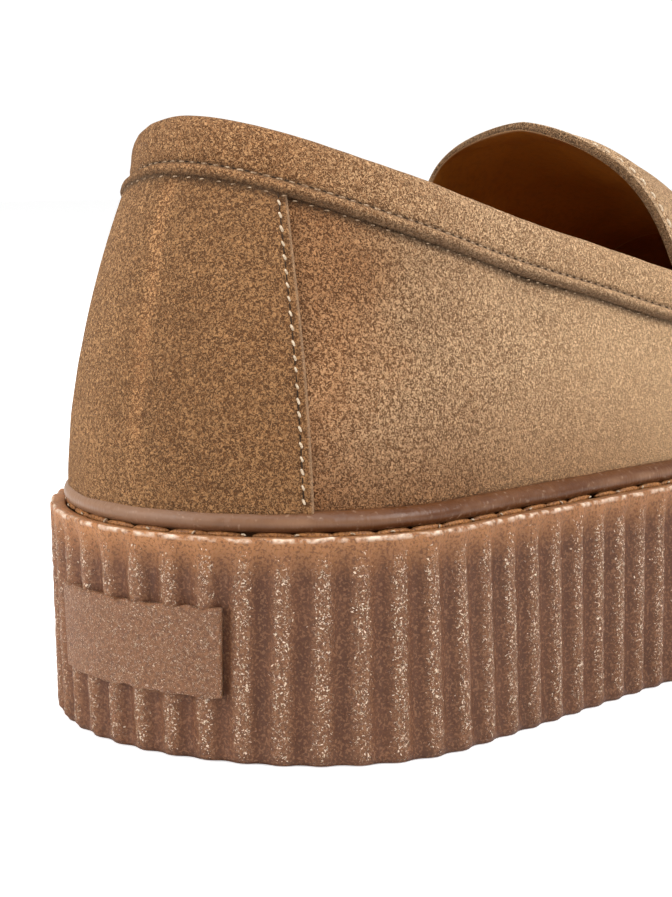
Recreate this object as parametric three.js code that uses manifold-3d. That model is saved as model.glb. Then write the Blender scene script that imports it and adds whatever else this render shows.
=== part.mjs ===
// Suede loafer on a ribbed platform sole, right shoe, standing on its sole.
// Millimetres. The toe points along +Y, the outer (lateral) side is +X, the floor is z = 0.
import * as THREE from "three";
import Module from "manifold-3d";

// Sole, seen from above
const soleLength = 283;
const heelWidth = 76.4;
const ballWidth = 98;
const heelRound = 37; // length of the rounded heel end
const heelSquare = 1.9; // exponent of the heel end: 2 is an ellipse, more is squarer
const toeRound = 78;
const toeSquare = 2.15;
const toeSwing = 7; // the toe lies this far to the inner side

// How far the foot of the sole's wall stands out past its top edge, at most
const footFlare = 2.4;

// Sole, seen from the side
const heelHeight = 35;
const ballHeight = 31;
const toeThickness = 27;
const toeSpring = 8;

// Ribs of the sole's wall
const ribPitch = 6.14;
const ribDepth = 1.7;
const ribPhase = 0.4; // the first rib lies this share of a pitch outward of the heel's middle
const edgeRound = 0.9; // at the foot
const ribTable = [
  { across: -0.36, depth: 1 },
  { across: -0.17, depth: 0 },
  { across: 0.17, depth: 0 },
  { across: 0.36, depth: 1 },
];

// Ledge and stitched channel on the sole, outside the rand
const ledgeWidth = 2.5;
const channelDepth = 1;

// Plain plate moulded on the back of the heel
const plateWidth = 35.4;
const plateHeight = 14;
const plateFoot = 10.2;
const plateProud = 0.3;

// Tread slots under the heel and the forefoot
const slotWidth = 3.2;
const slotDepth = 1.6;
const slotMargin = 11;
const slotGroups = [
  { from: 0.07, to: 0.22, count: 4 },
  { from: 0.5, to: 0.74, count: 6 },
];

// Rand: the moulded strip that wraps the foot of the upper
const randHeight = 3.9;
const randThick = 2.1;
const randTable = [
  { up: 0, out: 0.4 },
  { up: 0.26, out: 0.62 },
  { up: 0.44, out: 1 },
  { up: 0.66, out: 1 },
  { up: 0.9, out: 0.72 },
  { up: 1, out: 0.43 },
];

// Upper and what is sewn to it
const wall = 1.8;
const gap = 0.3;
const upperInset = 4.6; // from the sole's top edge to the foot of the upper
const backHeight = 63.9; // topline at the heel, above the sole
const throatHeight = 31.6; // topline beside the throat, above the sole
const throatStart = 0.485; // share of the way round where the topline starts to climb to the ridge
const throatEnd = 0.605; // and where both sides meet there
const instepHeight = 65.6; // ridge at the throat, above the sole
const toeBoxHeight = 27;
const ridgeShift = 7.6; // the ridge lies this far to the inner side at the instep
const ridgeBack = 42; // where the last's ridge starts and ends along the shoe
const ridgeFront = 256;
const apronSeam = 1.2; // height of the raised seam round the apron
const seamRise = 12; // and the length over which it rises
const counterThick = 0.8;
const counterFoot = 32.9; // half-length of the counter panel round the heel, at the foot
const counterTop = 26.4; // and at the top, measured round the foot in the same way
const bandDrop = 7.7;
const bandThick = 1.1;
const bandRoll = 1.8;
const bandStitch = 5.4;
const bandLining = 1;
const tongueThick = 1.9;
const tongueEdge = 119; // where the tongue's free edge lies along the shoe
const tongueRoot = 182;
const tongueLow = 0.36; // its sides start this far up the walls
const saddleThick = 1.6;
const saddleBack = 168;
const saddleFront = 196;
const saddleSweep = 14; // its front edge sweeps back this far down the sides
const saddleFlare = 45; // and its rear edge this far
const bandEnd = 128; // where the collar band ends, close behind the saddle
const insoleThick = 3.4;

// Facets
const plateColumns = 8;

// Columns of the upper on each side, round from the heel's middle (0) to the toe's (1)
const columnTable = [
  { from: 0.0, to: 0.12, count: 5 },
  { from: 0.12, to: 0.38, count: 8 },
  { from: 0.38, to: 0.485, count: 4 },
  { from: 0.485, to: 0.605, count: 10 },
  { from: 0.605, to: 0.84, count: 9 },
  { from: 0.84, to: 1.0, count: 7 },
];

// Plan of the sole: spread runs from the heel's half-width (0) to the ball's (1)
const planTable = [
  { along: 0.0, spread: -0.04, swing: 0.0 },
  { along: 0.1, spread: 0.03, swing: 0.06 },
  { along: 0.21, spread: 0.17, swing: 0.2 },
  { along: 0.32, spread: 0.3, swing: 0.33 },
  { along: 0.43, spread: 0.46, swing: 0.4 },
  { along: 0.54, spread: 0.74, swing: 0.34 },
  { along: 0.63, spread: 0.95, swing: 0.2 },
  { along: 0.7, spread: 1.0, swing: 0.02 },
  { along: 0.79, spread: 0.98, swing: -0.26 },
  { along: 0.9, spread: 0.95, swing: -0.68 },
  { along: 1.0, spread: 0.95, swing: -1.0 },
];

// Height of the sole's top edge: drop runs from the heel's height (0) to the ball's (1), lift to the toe's (1)
const sideTable = [
  { along: 0.0, drop: 0, lift: 0, spring: 0 },
  { along: 0.4, drop: 0, lift: 0, spring: 0 },
  { along: 0.55, drop: 0.5, lift: 0, spring: 0 },
  { along: 0.66, drop: 0.92, lift: 0, spring: 0 },
  { along: 0.76, drop: 1, lift: 0.12, spring: 0.06 },
  { along: 0.88, drop: 1, lift: 0.46, spring: 0.4 },
  { along: 1.0, drop: 1, lift: 1, spring: 1 },
];

// Ridge of the last: rise runs from the toe box (0) to the throat (1), shift is a share of ridgeShift
const ridgeTable = [
  { along: 0.12, rise: 1.62, shift: 0.1 },
  { along: 0.24, rise: 1.5, shift: 0.5 },
  { along: 0.34, rise: 1.22, shift: 0.85 },
  { along: 0.424, rise: 1.0, shift: 1 },
  { along: 0.46, rise: 0.95, shift: 1 },
  { along: 0.495, rise: 0.87, shift: 1 },
  { along: 0.53, rise: 0.76, shift: 0.97 },
  { along: 0.6, rise: 0.6, shift: 0.9 },
  { along: 0.66, rise: 0.49, shift: 0.8 },
  { along: 0.72, rise: 0.35, shift: 0.7 },
  { along: 0.8, rise: 0.16, shift: 0.5 },
  { along: 0.86, rise: 0.04, shift: 0.35 },
  { along: 0.92, rise: -0.08, shift: 0.2 },
];

// Walls of the last, round from the heel's middle (0) to the toe's (1): a wall starts from the foot
// towards a first pull point (lean inward, stand upward) and reaches the ridge from a second one (crown,
// or innerCrown on the inner side)
const wallTable = [
  { around: 0.0, lean: -0.07, stand: 0.36, crown: 0.55, innerCrown: 0.55 },
  { around: 0.08, lean: -0.06, stand: 0.37, crown: 0.57, innerCrown: 0.54 },
  { around: 0.2, lean: -0.01, stand: 0.4, crown: 0.62, innerCrown: 0.62 },
  { around: 0.3, lean: 0.03, stand: 0.47, crown: 0.68, innerCrown: 0.88 },
  { around: 0.41, lean: 0.04, stand: 0.58, crown: 0.78, innerCrown: 1.18 },
  { around: 0.47, lean: 0.05, stand: 0.5, crown: 0.6, innerCrown: 1.02 },
  { around: 0.53, lean: 0.05, stand: 0.45, crown: 0.49, innerCrown: 0.8 },
  { around: 0.62, lean: 0.02, stand: 0.45, crown: 0.5, innerCrown: 0.62 },
  { around: 0.75, lean: -0.03, stand: 0.48, crown: 0.54, innerCrown: 0.56 },
  { around: 0.88, lean: -0.06, stand: 0.52, crown: 0.58, innerCrown: 0.58 },
  { around: 1.0, lean: -0.08, stand: 0.55, crown: 0.6, innerCrown: 0.6 },
];

// Topline: drop runs from the back height (0) to the throat's side (1)
const toplineTable = [
  { along: 0.04, drop: 0.0 },
  { along: 0.075, drop: 0.14 },
  { along: 0.12, drop: 0.3 },
  { along: 0.17, drop: 0.434 },
  { along: 0.23, drop: 0.58 },
  { along: 0.3, drop: 0.72 },
  { along: 0.36, drop: 0.85 },
  { along: 0.42, drop: 0.96 },
  { along: 0.5, drop: 1.0 },
  { along: 0.6, drop: 1.0 },
];

// Foot of the sole's wall, as shares of footFlare, out past the top edge on each side
const footTable = [
  { around: 0.0, outer: -1.0, inner: -1.0 },
  { around: 0.045, outer: -0.6, inner: -0.8 },
  { around: 0.09, outer: 0.3, inner: -0.5 },
  { around: 0.14, outer: 1.0, inner: -0.2 },
  { around: 0.22, outer: 0.8, inner: 0.1 },
  { around: 0.34, outer: 0.3, inner: 0.2 },
  { around: 0.6, outer: 0.0, inner: 0.0 },
  { around: 1.0, outer: -1.0, inner: -1.0 },
];

// Rows of the upper from its foot to its edge, with the raised seam of the apron between
const outerRows = [
  { up: 0, seam: 0 },
  { up: 0.1, seam: 0 },
  { up: 0.22, seam: 0 },
  { up: 0.34, seam: 0 },
  { up: 0.46, seam: 0 },
  { up: 0.57, seam: 0 },
  { up: 0.655, seam: 0 },
  { up: 0.672, seam: 1 },
  { up: 0.692, seam: 1 },
  { up: 0.71, seam: 0 },
  { up: 0.85, seam: 0 },
  { up: 1, seam: 0 },
];
const innerRows = [0, 0.12, 0.26, 0.4, 0.5, 0.6, 0.68, 0.76, 0.84, 0.92, 1];

const wasm = await Module();
wasm.setup();

const lerp = (a, b, share) => a + (b - a) * share;
const clamp = (value, low, high) => Math.min(Math.max(value, low), high);

// Smooth value of one column of a table, by a cubic through its rows
function tableValue(table, key, at, column) {
  const last = table.length - 1;
  const place = clamp(at, table[0][key], table[last][key]);
  let row = 0;
  while (row < last - 1 && place > table[row + 1][key]) {
    row += 1;
  }
  const slopeAt = (i) => {
    const before = table[Math.max(i - 1, 0)];
    const after = table[Math.min(i + 1, last)];
    return (after[column] - before[column]) / (after[key] - before[key]);
  };
  const span = table[row + 1][key] - table[row][key];
  const s = (place - table[row][key]) / span;
  const s2 = s * s;
  const s3 = s2 * s;
  const start = table[row][column] * (2 * s3 - 3 * s2 + 1) + slopeAt(row) * span * (s3 - 2 * s2 + s);
  const end = table[row + 1][column] * (3 * s2 - 2 * s3) + slopeAt(row + 1) * span * (s3 - s2);
  return start + end;
}

// Finds where a rising function reaches a value, by halving
function solve(rising, value, low, high) {
  let a = low;
  let b = high;
  for (let step = 0; step < 40; step += 1) {
    const middle = (a + b) / 2;
    if (rising(middle) < value) {
      a = middle;
    } else {
      b = middle;
    }
  }
  return (a + b) / 2;
}

// Heights of the sole's top edge and foot along the shoe
function topHeight(y) {
  const along = y / soleLength;
  const drop = tableValue(sideTable, "along", along, "drop");
  const lift = tableValue(sideTable, "along", along, "lift");
  return lerp(heelHeight, ballHeight, drop) + (toeSpring + toeThickness - ballHeight) * lift;
}

function footHeight(y) {
  return toeSpring * Math.max(tableValue(sideTable, "along", y / soleLength, "spring"), 0);
}

// One side of an outline, from the heel's middle to the toe's, as a dense line with its arc length
function outlineSide(side) {
  const steps = 1200;
  const line = [];
  for (let i = 0; i <= steps; i += 1) {
    const share = (1 - Math.cos((Math.PI * i) / steps)) / 2;
    const y = soleLength * share;
    const heelPart = clamp((heelRound - y) / heelRound, 0, 1);
    const toePart = clamp((y - soleLength + toeRound) / toeRound, 0, 1);
    const heelEnd = (1 - heelPart ** heelSquare) ** (1 / heelSquare);
    const toeEnd = (1 - toePart ** toeSquare) ** (1 / toeSquare);
    const spread = tableValue(planTable, "along", share, "spread");
    const half = lerp(heelWidth / 2, ballWidth / 2, spread);
    const middle = toeSwing * tableValue(planTable, "along", share, "swing");
    line.push({ x: middle + side * half * heelEnd * toeEnd, y, arc: 0 });
    if (i > 0) {
      const before = line[i - 1];
      line[i].arc = before.arc + Math.hypot(line[i].x - before.x, line[i].y - before.y);
    }
  }
  return line;
}

function makeOutline() {
  const outer = outlineSide(1);
  const inner = outlineSide(-1);
  return { outer, inner, outerLength: outer.at(-1).arc, innerLength: inner.at(-1).arc };
}

const topOutline = makeOutline();

// Share of the way from the heel's middle to the toe's, on either side
const turnOf = (share) => share - Math.floor(share);
const wayOf = (share) => (share <= 0.5 ? share * 2 : (1 - share) * 2);

// Point of an outline. Share runs from the heel's middle by the outer side to the toe (0.5) and back by the inner
function onOutline(outline, share) {
  const turn = share - Math.floor(share);
  const isOuter = turn <= 0.5;
  const line = isOuter ? outline.outer : outline.inner;
  const way = isOuter ? turn * 2 : (1 - turn) * 2;
  const arc = way * line.at(-1).arc;
  let low = 0;
  let high = line.length - 1;
  while (high - low > 1) {
    const middle = (low + high) >> 1;
    if (line[middle].arc <= arc) {
      low = middle;
    } else {
      high = middle;
    }
  }
  const s = (arc - line[low].arc) / (line[high].arc - line[low].arc);
  return { x: lerp(line[low].x, line[high].x, s), y: lerp(line[low].y, line[high].y, s) };
}

// The same point with the outward direction, moved inward by an inset
function insetPoint(outline, share, inset) {
  const step = 0.004;
  const here = onOutline(outline, share);
  const before = onOutline(outline, share - step);
  const after = onOutline(outline, share + step);
  const length = Math.hypot(after.x - before.x, after.y - before.y);
  const outX = (after.y - before.y) / length;
  const outY = (before.x - after.x) / length;
  return { x: here.x - outX * inset, y: here.y - outY * inset };
}

// Share of the way round for a length measured from the heel's middle, positive by the outer side
function shareAtArc(arc) {
  return arc >= 0 ? (0.5 * arc) / topOutline.outerLength : 1 + (0.5 * arc) / topOutline.innerLength;
}

// Collects vertices and triangles of one closed skin
class Skin {
  constructor() {
    this.points = [];
    this.faces = [];
  }

  point(x, y, z) {
    this.points.push(x, y, z);
    return this.points.length / 3 - 1;
  }

  ring(list) {
    return list.map((p) => this.point(p.x, p.y, p.z));
  }

  triangle(a, b, c) {
    if (a !== b && b !== c && a !== c) {
      this.faces.push(a, b, c);
    }
  }

  quad(a, b, c, d) {
    this.triangle(a, b, c);
    this.triangle(a, c, d);
  }

  // Wall between two rings of equal count, the second one above the first
  join(low, high) {
    const n = low.length;
    for (let i = 0; i < n; i += 1) {
      const next = (i + 1) % n;
      this.quad(low[i], low[next], high[next], high[i]);
    }
  }

  // Flat band between a ribbed ring and a smooth one with one point for each rib
  fan(ribbed, smooth, facesUp) {
    const per = ribbed.length / smooth.length;
    for (let k = 0; k < smooth.length; k += 1) {
      const next = (k + 1) % smooth.length;
      for (let i = 0; i < per; i += 1) {
        const a = ribbed[k * per + i];
        const b = ribbed[(k * per + i + 1) % ribbed.length];
        const c = smooth[i === per - 1 ? next : k];
        if (facesUp) {
          this.triangle(a, b, c);
        } else {
          this.triangle(b, a, c);
        }
      }
      const edge = ribbed[k * per + per - 1];
      if (facesUp) {
        this.triangle(edge, smooth[next], smooth[k]);
      } else {
        this.triangle(edge, smooth[k], smooth[next]);
      }
    }
  }

  // Closes a ring with strips that run across the shoe
  across(ring, facesUp) {
    let i = 0;
    let j = ring.length - 1;
    let outerTurn = true;
    while (j - i > 1) {
      const next = outerTurn ? ring[i + 1] : ring[j - 1];
      if (facesUp) {
        this.triangle(ring[i], next, ring[j]);
      } else {
        this.triangle(ring[i], ring[j], next);
      }
      if (outerTurn) {
        i += 1;
      } else {
        j -= 1;
      }
      outerTurn = !outerTurn;
    }
  }

  geometry() {
    const geometry = new THREE.BufferGeometry();
    geometry.setAttribute("position", new THREE.Float32BufferAttribute(this.points, 3));
    geometry.setIndex(this.faces);
    return geometry;
  }
}

// Solids for joining and cutting, and back
function toSolid(geometry) {
  const vertProperties = new Float32Array(geometry.attributes.position.array);
  const triVerts = new Uint32Array(geometry.index.array);
  return new wasm.Manifold(new wasm.Mesh({ numProp: 3, vertProperties, triVerts }));
}

function toGeometry(solid) {
  const mesh = solid.getMesh();
  const positions = [];
  for (let v = 0; v < mesh.numVert; v += 1) {
    for (let axis = 0; axis < 3; axis += 1) {
      positions.push(mesh.vertProperties[v * mesh.numProp + axis]);
    }
  }
  const geometry = new THREE.BufferGeometry();
  geometry.setAttribute("position", new THREE.Float32BufferAttribute(positions, 3));
  geometry.setIndex(Array.from(mesh.triVerts));
  return geometry;
}

// Point of the sole's wall. Level 0 is the foot and 1 the top edge
function wallPoint(share, level, inset) {
  const side = turnOf(share) <= 0.5 ? "outer" : "inner";
  const flare = footFlare * tableValue(footTable, "around", wayOf(turnOf(share)), side);
  const low = insetPoint(topOutline, share, inset - flare);
  const high = insetPoint(topOutline, share, inset);
  const lowZ = footHeight(low.y);
  const highZ = topHeight(high.y);
  return { x: lerp(low.x, high.x, level), y: lerp(low.y, high.y, level), z: lerp(lowZ, highZ, level) };
}

const wallLength = topOutline.outerLength + topOutline.innerLength;
const ribCount = Math.round(wallLength / ribPitch);
const realPitch = wallLength / ribCount;

function ribShares() {
  const innerRibs = Math.floor(topOutline.innerLength / realPitch + ribPhase);
  const shares = [];
  for (let k = 0; k < ribCount; k += 1) {
    const arc = (k + ribPhase) * realPitch;
    shares.push(k < ribCount - innerRibs ? arc : arc - wallLength);
  }
  return shares;
}

function ribbedRing(level, inset) {
  const ring = [];
  for (const arc of ribShares()) {
    for (const corner of ribTable) {
      const share = shareAtArc(arc + corner.across * realPitch);
      ring.push(wallPoint(share, level, inset + corner.depth * ribDepth));
    }
  }
  return ring;
}

function smoothRing(level, inset, sink) {
  return ribShares().map((arc) => {
    const p = wallPoint(shareAtArc(arc), level, inset);
    return { x: p.x, y: p.y, z: p.z - sink };
  });
}

function makePlate() {
  const skin = new Skin();
  const sections = [];
  const base = ribDepth + 1;
  for (let i = 0; i <= plateColumns; i += 1) {
    const arc = lerp(-plateWidth / 2, plateWidth / 2, i / plateColumns);
    const share = shareAtArc(arc);
    const low = plateFoot / heelHeight;
    const high = (plateFoot + plateHeight) / heelHeight;
    sections.push(
      skin.ring([
        wallPoint(share, low, base),
        wallPoint(share, low, -plateProud),
        wallPoint(share, high, -plateProud),
        wallPoint(share, high, base),
      ]),
    );
  }
  for (let i = 0; i < plateColumns; i += 1) {
    for (let k = 0; k < 4; k += 1) {
      const next = (k + 1) % 4;
      skin.quad(sections[i][k], sections[i + 1][k], sections[i + 1][next], sections[i][next]);
    }
  }
  const first = sections[0];
  const last = sections[plateColumns];
  skin.quad(first[0], first[1], first[2], first[3]);
  skin.quad(last[3], last[2], last[1], last[0]);
  return skin.geometry();
}

// Boxes that cut the tread slots, across the sole
function treadCutters() {
  const cutters = [];
  for (const group of slotGroups) {
    for (let i = 0; i < group.count; i += 1) {
      const y = soleLength * lerp(group.from, group.to, i / (group.count - 1));
      const spread = tableValue(planTable, "along", y / soleLength, "spread");
      const half = lerp(heelWidth / 2, ballWidth / 2, spread) - slotMargin;
      const middle = toeSwing * tableValue(planTable, "along", y / soleLength, "swing");
      const cutter = new THREE.BoxGeometry(2 * half, slotWidth, 2 * slotDepth);
      cutter.translate(middle, y, footHeight(y));
      cutters.push(cutter);
    }
  }
  return cutters;
}

function boxSolid(box) {
  const skin = new Skin();
  box.computeBoundingBox();
  const { min, max } = box.boundingBox;
  const ringAt = (z) => skin.ring([
    { x: min.x, y: min.y, z },
    { x: max.x, y: min.y, z },
    { x: max.x, y: max.y, z },
    { x: min.x, y: max.y, z },
  ]);
  const low = ringAt(min.z);
  const high = ringAt(max.z);
  skin.join(low, high);
  skin.quad(low[3], low[2], low[1], low[0]);
  skin.quad(high[0], high[1], high[2], high[3]);
  return toSolid(skin.geometry());
}

function makeSole() {
  const skin = new Skin();
  const bevel = edgeRound / heelHeight;
  const inside = ribDepth + edgeRound;
  const footInner = skin.ring(smoothRing(0, inside, 0));
  const foot = skin.ring(ribbedRing(0, edgeRound / 2));
  const low = skin.ring(ribbedRing(bevel, 0));
  const edge = skin.ring(ribbedRing(1, 0));
  const ledge = skin.ring(smoothRing(1, ledgeWidth, 0));
  const channel = skin.ring(smoothRing(1, ledgeWidth, channelDepth));
  skin.across(footInner, false);
  skin.fan(foot, footInner, false);
  skin.join(foot, low);
  skin.join(low, edge);
  skin.fan(edge, ledge, true);
  skin.join(ledge, channel);
  skin.across(channel, true);
  let solid = toSolid(skin.geometry()).add(toSolid(makePlate()));
  for (const cutter of treadCutters()) {
    solid = solid.subtract(boxSolid(cutter));
  }
  return toGeometry(solid);
}

// The last: a closed form from the foot of the upper to the ridge
const floorLift = gap - channelDepth;

function footOfUpper(share) {
  const p = insetPoint(topOutline, share, upperInset);
  return { x: p.x, y: p.y, z: topHeight(p.y) + floorLift };
}

function ridgeHeight(y) {
  const rise = tableValue(ridgeTable, "along", y / soleLength, "rise");
  return topHeight(y) + lerp(toeBoxHeight, instepHeight, rise);
}

function ridgePoint(way) {
  const outer = footOfUpper(way / 2);
  const inner = footOfUpper(1 - way / 2);
  const back = footOfUpper(0).y;
  const front = footOfUpper(0.5).y;
  const y = lerp(ridgeBack, ridgeFront, ((outer.y + inner.y) / 2 - back) / (front - back));
  const along = y / soleLength;
  const middle = toeSwing * tableValue(planTable, "along", along, "swing");
  const shift = ridgeShift * tableValue(ridgeTable, "along", along, "shift");
  const step = 0.5;
  const slope = (ridgeHeight(y + step) - ridgeHeight(y - step)) / (2 * step);
  return { x: middle - shift, y, z: ridgeHeight(y), slope };
}

function lastPoint(share, up) {
  const turn = turnOf(share);
  const way = wayOf(turn);
  const foot = footOfUpper(turn);
  const ridge = ridgePoint(way);
  const lean = tableValue(wallTable, "around", way, "lean");
  const stand = tableValue(wallTable, "around", way, "stand");
  const crown = tableValue(wallTable, "around", way, turn <= 0.5 ? "crown" : "innerCrown");
  const firstPull = new THREE.Vector3(
    lerp(foot.x, ridge.x, lean),
    lerp(foot.y, ridge.y, lean),
    lerp(foot.z, ridge.z, stand),
  );
  const crownY = lerp(ridge.y, foot.y, crown);
  const secondPull = new THREE.Vector3(
    lerp(ridge.x, foot.x, crown),
    crownY,
    ridge.z + ridge.slope * (crownY - ridge.y),
  );
  const start = new THREE.Vector3(foot.x, foot.y, foot.z);
  const end = new THREE.Vector3(ridge.x, ridge.y, ridge.z);
  return new THREE.CubicBezierCurve3(start, firstPull, secondPull, end).getPoint(up);
}

// Outward direction of the last's surface
function lastNormal(share, up) {
  if (up > 0.999) {
    const { slope } = ridgePoint(wayOf(turnOf(share)));
    return new THREE.Vector3(0, -slope, 1).normalize();
  }
  const turnStep = 0.003;
  const upStep = 0.004;
  const along = lastPoint(share + turnStep, up).sub(lastPoint(share - turnStep, up));
  const upward = lastPoint(share, up + upStep).sub(lastPoint(share, Math.max(up - upStep, 0)));
  return along.cross(upward).normalize();
}

function shellPoint(share, up, offset) {
  return lastPoint(share, up).addScaledVector(lastNormal(share, up), offset);
}

// Way up a wall where it stands a height above the sole's top edge
function upAtHeight(share, height) {
  return solve((up) => {
    const p = lastPoint(share, up);
    return p.z - topHeight(p.y);
  }, height, 0, 1);
}

// Way up a wall where the topline cuts it, 1 where the vamp is closed
function toplineUp(share) {
  const sideUp = solve((up) => {
    const p = lastPoint(share, up);
    const drop = tableValue(toplineTable, "along", p.y / soleLength, "drop");
    return p.z - topHeight(p.y) - lerp(backHeight, throatHeight, drop);
  }, 0, 0, 1);
  const climb = clamp((wayOf(turnOf(share)) - throatStart) / (throatEnd - throatStart), 0, 1);
  return lerp(sideUp, 1, climb * climb * (3 - 2 * climb));
}

function makeColumns() {
  const ways = columnTable.flatMap(({ from, to, count }) =>
    Array.from({ length: count }, (_, i) => lerp(from, to, i / count)));
  const outer = ways.map((way) => way / 2);
  const inner = ways.slice(1).map((way) => 1 - way / 2).reverse();
  return [...outer, 0.5, ...inner].map((share) => ({ share, top: toplineUp(share) }));
}

const columns = makeColumns();
const columnCount = columns.length;
const isClosed = (column) => column.top > 0.999;
const mirrorOf = (i) => (columnCount - i) % columnCount;

// Height of the apron's raised seam: it rises in front of the saddle
function seamHeight(share, up) {
  const y = lastPoint(share, up).y;
  return apronSeam * clamp((y - saddleFront) / seamRise, 0, 1);
}

function makeUpper() {
  const skin = new Skin();
  const outer = [];
  const inner = [];
  const lastOuter = outerRows.length - 1;
  const lastInner = innerRows.length - 1;
  columns.forEach((column, i) => {
    const shared = isClosed(column) && i > columnCount / 2;
    outer.push(outerRows.map((row, r) => {
      if (shared && r === lastOuter) {
        return outer[mirrorOf(i)][lastOuter];
      }
      const up = row.up * column.top;
      const seam = row.seam > 0 && isClosed(column) ? seamHeight(column.share, up) : 0;
      const p = shellPoint(column.share, up, seam);
      return skin.point(p.x, p.y, p.z);
    }));
    inner.push(innerRows.map((row, r) => {
      if (shared && r === lastInner) {
        return inner[mirrorOf(i)][lastInner];
      }
      const p = shellPoint(column.share, row * column.top, -wall);
      return skin.point(p.x, p.y, p.z);
    }));
  });
  for (let i = 0; i < columnCount; i += 1) {
    const next = (i + 1) % columnCount;
    for (let r = 0; r < lastOuter; r += 1) {
      skin.quad(outer[i][r], outer[next][r], outer[next][r + 1], outer[i][r + 1]);
    }
    for (let r = 0; r < lastInner; r += 1) {
      skin.quad(inner[i][r], inner[i][r + 1], inner[next][r + 1], inner[next][r]);
    }
    skin.quad(inner[i][0], inner[next][0], outer[next][0], outer[i][0]);
    if (!(isClosed(columns[i]) && isClosed(columns[next]))) {
      const edgeOut = [outer[i][lastOuter], outer[next][lastOuter]];
      const edgeIn = [inner[i][lastInner], inner[next][lastInner]];
      skin.quad(edgeOut[0], edgeOut[1], edgeIn[1], edgeIn[0]);
    }
  }
  return skin.geometry();
}

// A closed strip whose section is carried round all columns
function makeHoop(sectionAt) {
  const skin = new Skin();
  const rings = columns.map((column) => skin.ring(sectionAt(column)));
  const count = rings[0].length;
  for (let i = 0; i < columnCount; i += 1) {
    const next = (i + 1) % columnCount;
    for (let k = 0; k < count; k += 1) {
      const after = (k + 1) % count;
      skin.quad(rings[i][k], rings[next][k], rings[next][after], rings[i][after]);
    }
  }
  return skin.geometry();
}

// Point that stands off the foot of the upper, level with a height over the sole
function outsideFoot(share, height, out) {
  const p = shellPoint(share, upAtHeight(share, height), out);
  return { x: p.x, y: p.y, z: topHeight(p.y) + height };
}

function makeRand() {
  return makeHoop(({ share }) => [
    outsideFoot(share, floorLift, gap),
    ...randTable.map(({ up, out }) => outsideFoot(share, lerp(floorLift, randHeight, up), out * randThick)),
    outsideFoot(share, randHeight, gap),
  ]);

}

function makeInsole() {
  const skin = new Skin();
  const edge = (height) => columns.map(({ share }) => {
    const p = shellPoint(share, upAtHeight(share, height), -wall - gap);
    return { x: p.x, y: p.y, z: topHeight(p.y) + height };
  });
  const low = skin.ring(edge(floorLift));
  const high = skin.ring(edge(floorLift + insoleThick));
  skin.join(low, high);
  skin.across(low, false);
  skin.across(high, true);
  return skin.geometry();
}

// A sewn piece between two offsets of the last, from a grid of places on it
function makePatch(grid, offsetLow, offsetHigh) {
  const skin = new Skin();
  const layer = (offset) => grid.map((row) => row.map((place) => {
    const p = shellPoint(place.share, place.up, offset(place));
    return skin.point(p.x, p.y, p.z);
  }));
  const low = layer(offsetLow);
  const high = layer(offsetHigh);
  const rows = grid.length - 1;
  const cells = grid[0].length - 1;
  for (let r = 0; r < rows; r += 1) {
    for (let c = 0; c < cells; c += 1) {
      skin.quad(high[r][c], high[r][c + 1], high[r + 1][c + 1], high[r + 1][c]);
      skin.quad(low[r][c], low[r + 1][c], low[r + 1][c + 1], low[r][c + 1]);
    }
    skin.quad(low[r + 1][0], low[r][0], high[r][0], high[r + 1][0]);
    skin.quad(low[r][cells], low[r + 1][cells], high[r + 1][cells], high[r][cells]);
  }
  for (let c = 0; c < cells; c += 1) {
    skin.quad(low[0][c], low[0][c + 1], high[0][c + 1], high[0][c]);
    skin.quad(low[rows][c + 1], low[rows][c], high[rows][c], high[rows][c + 1]);
  }
  return skin.geometry();
}

function makeCounter() {
  const rows = 6;
  const cells = 16;
  const grid = [];
  for (let r = 0; r <= rows; r += 1) {
    const row = [];
    for (let c = 0; c <= cells; c += 1) {
      const half = lerp(counterFoot, counterTop, r / rows);
      const share = shareAtArc(lerp(-half, half, c / cells));
      const foot = upAtHeight(share, randHeight + gap);
      const top = toplineUp(share);
      const edge = lastPoint(share, top);
      const under = upAtHeight(share, edge.z - topHeight(edge.y) - bandDrop - gap);
      row.push({ share, up: lerp(foot, under, r / rows) });
    }
    grid.push(row);
  }
  return makePatch(grid, () => gap, () => gap + counterThick);
}

// Place on one side of the last that lies a length along the shoe, at a way up the wall
function placeAlong(side, up, y) {
  const way = solve((at) => lastPoint(side > 0 ? at / 2 : 1 - at / 2, up).y, y, 0.05, 0.97);
  return { share: side > 0 ? way / 2 : 1 - way / 2, up };
}

// A piece that crosses the instep, from low on the inner side over the ridge to low on the outer side
function crossingGrid(rows, cells, lowestUp, edgeBack, edgeFront) {
  const grid = [];
  for (let r = 0; r <= rows; r += 1) {
    const row = [];
    for (let c = 0; c <= cells; c += 1) {
      const across = (2 * c) / cells - 1;
      const side = across >= 0 ? 1 : -1;
      const low = Math.abs(across);
      const y = lerp(edgeBack(low), edgeFront(low), r / rows);
      row.push(placeAlong(side, 1 - low * (1 - lowestUp(side, y)), y));
    }
    grid.push(row);
  }
  return grid;
}

function makeSaddle() {
  const edgeBack = (low) => saddleBack - saddleFlare * low * low * (3 - 2 * low);
  const edgeFront = (low) => saddleFront - saddleSweep * low * low;
  const lowestUp = (side, y) => upAtHeight(placeAlong(side, 0, y).share, randHeight + 2 * gap);
  const grid = crossingGrid(5, 22, lowestUp, edgeBack, edgeFront);
  return makePatch(grid, () => gap, () => gap + saddleThick);
}

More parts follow.
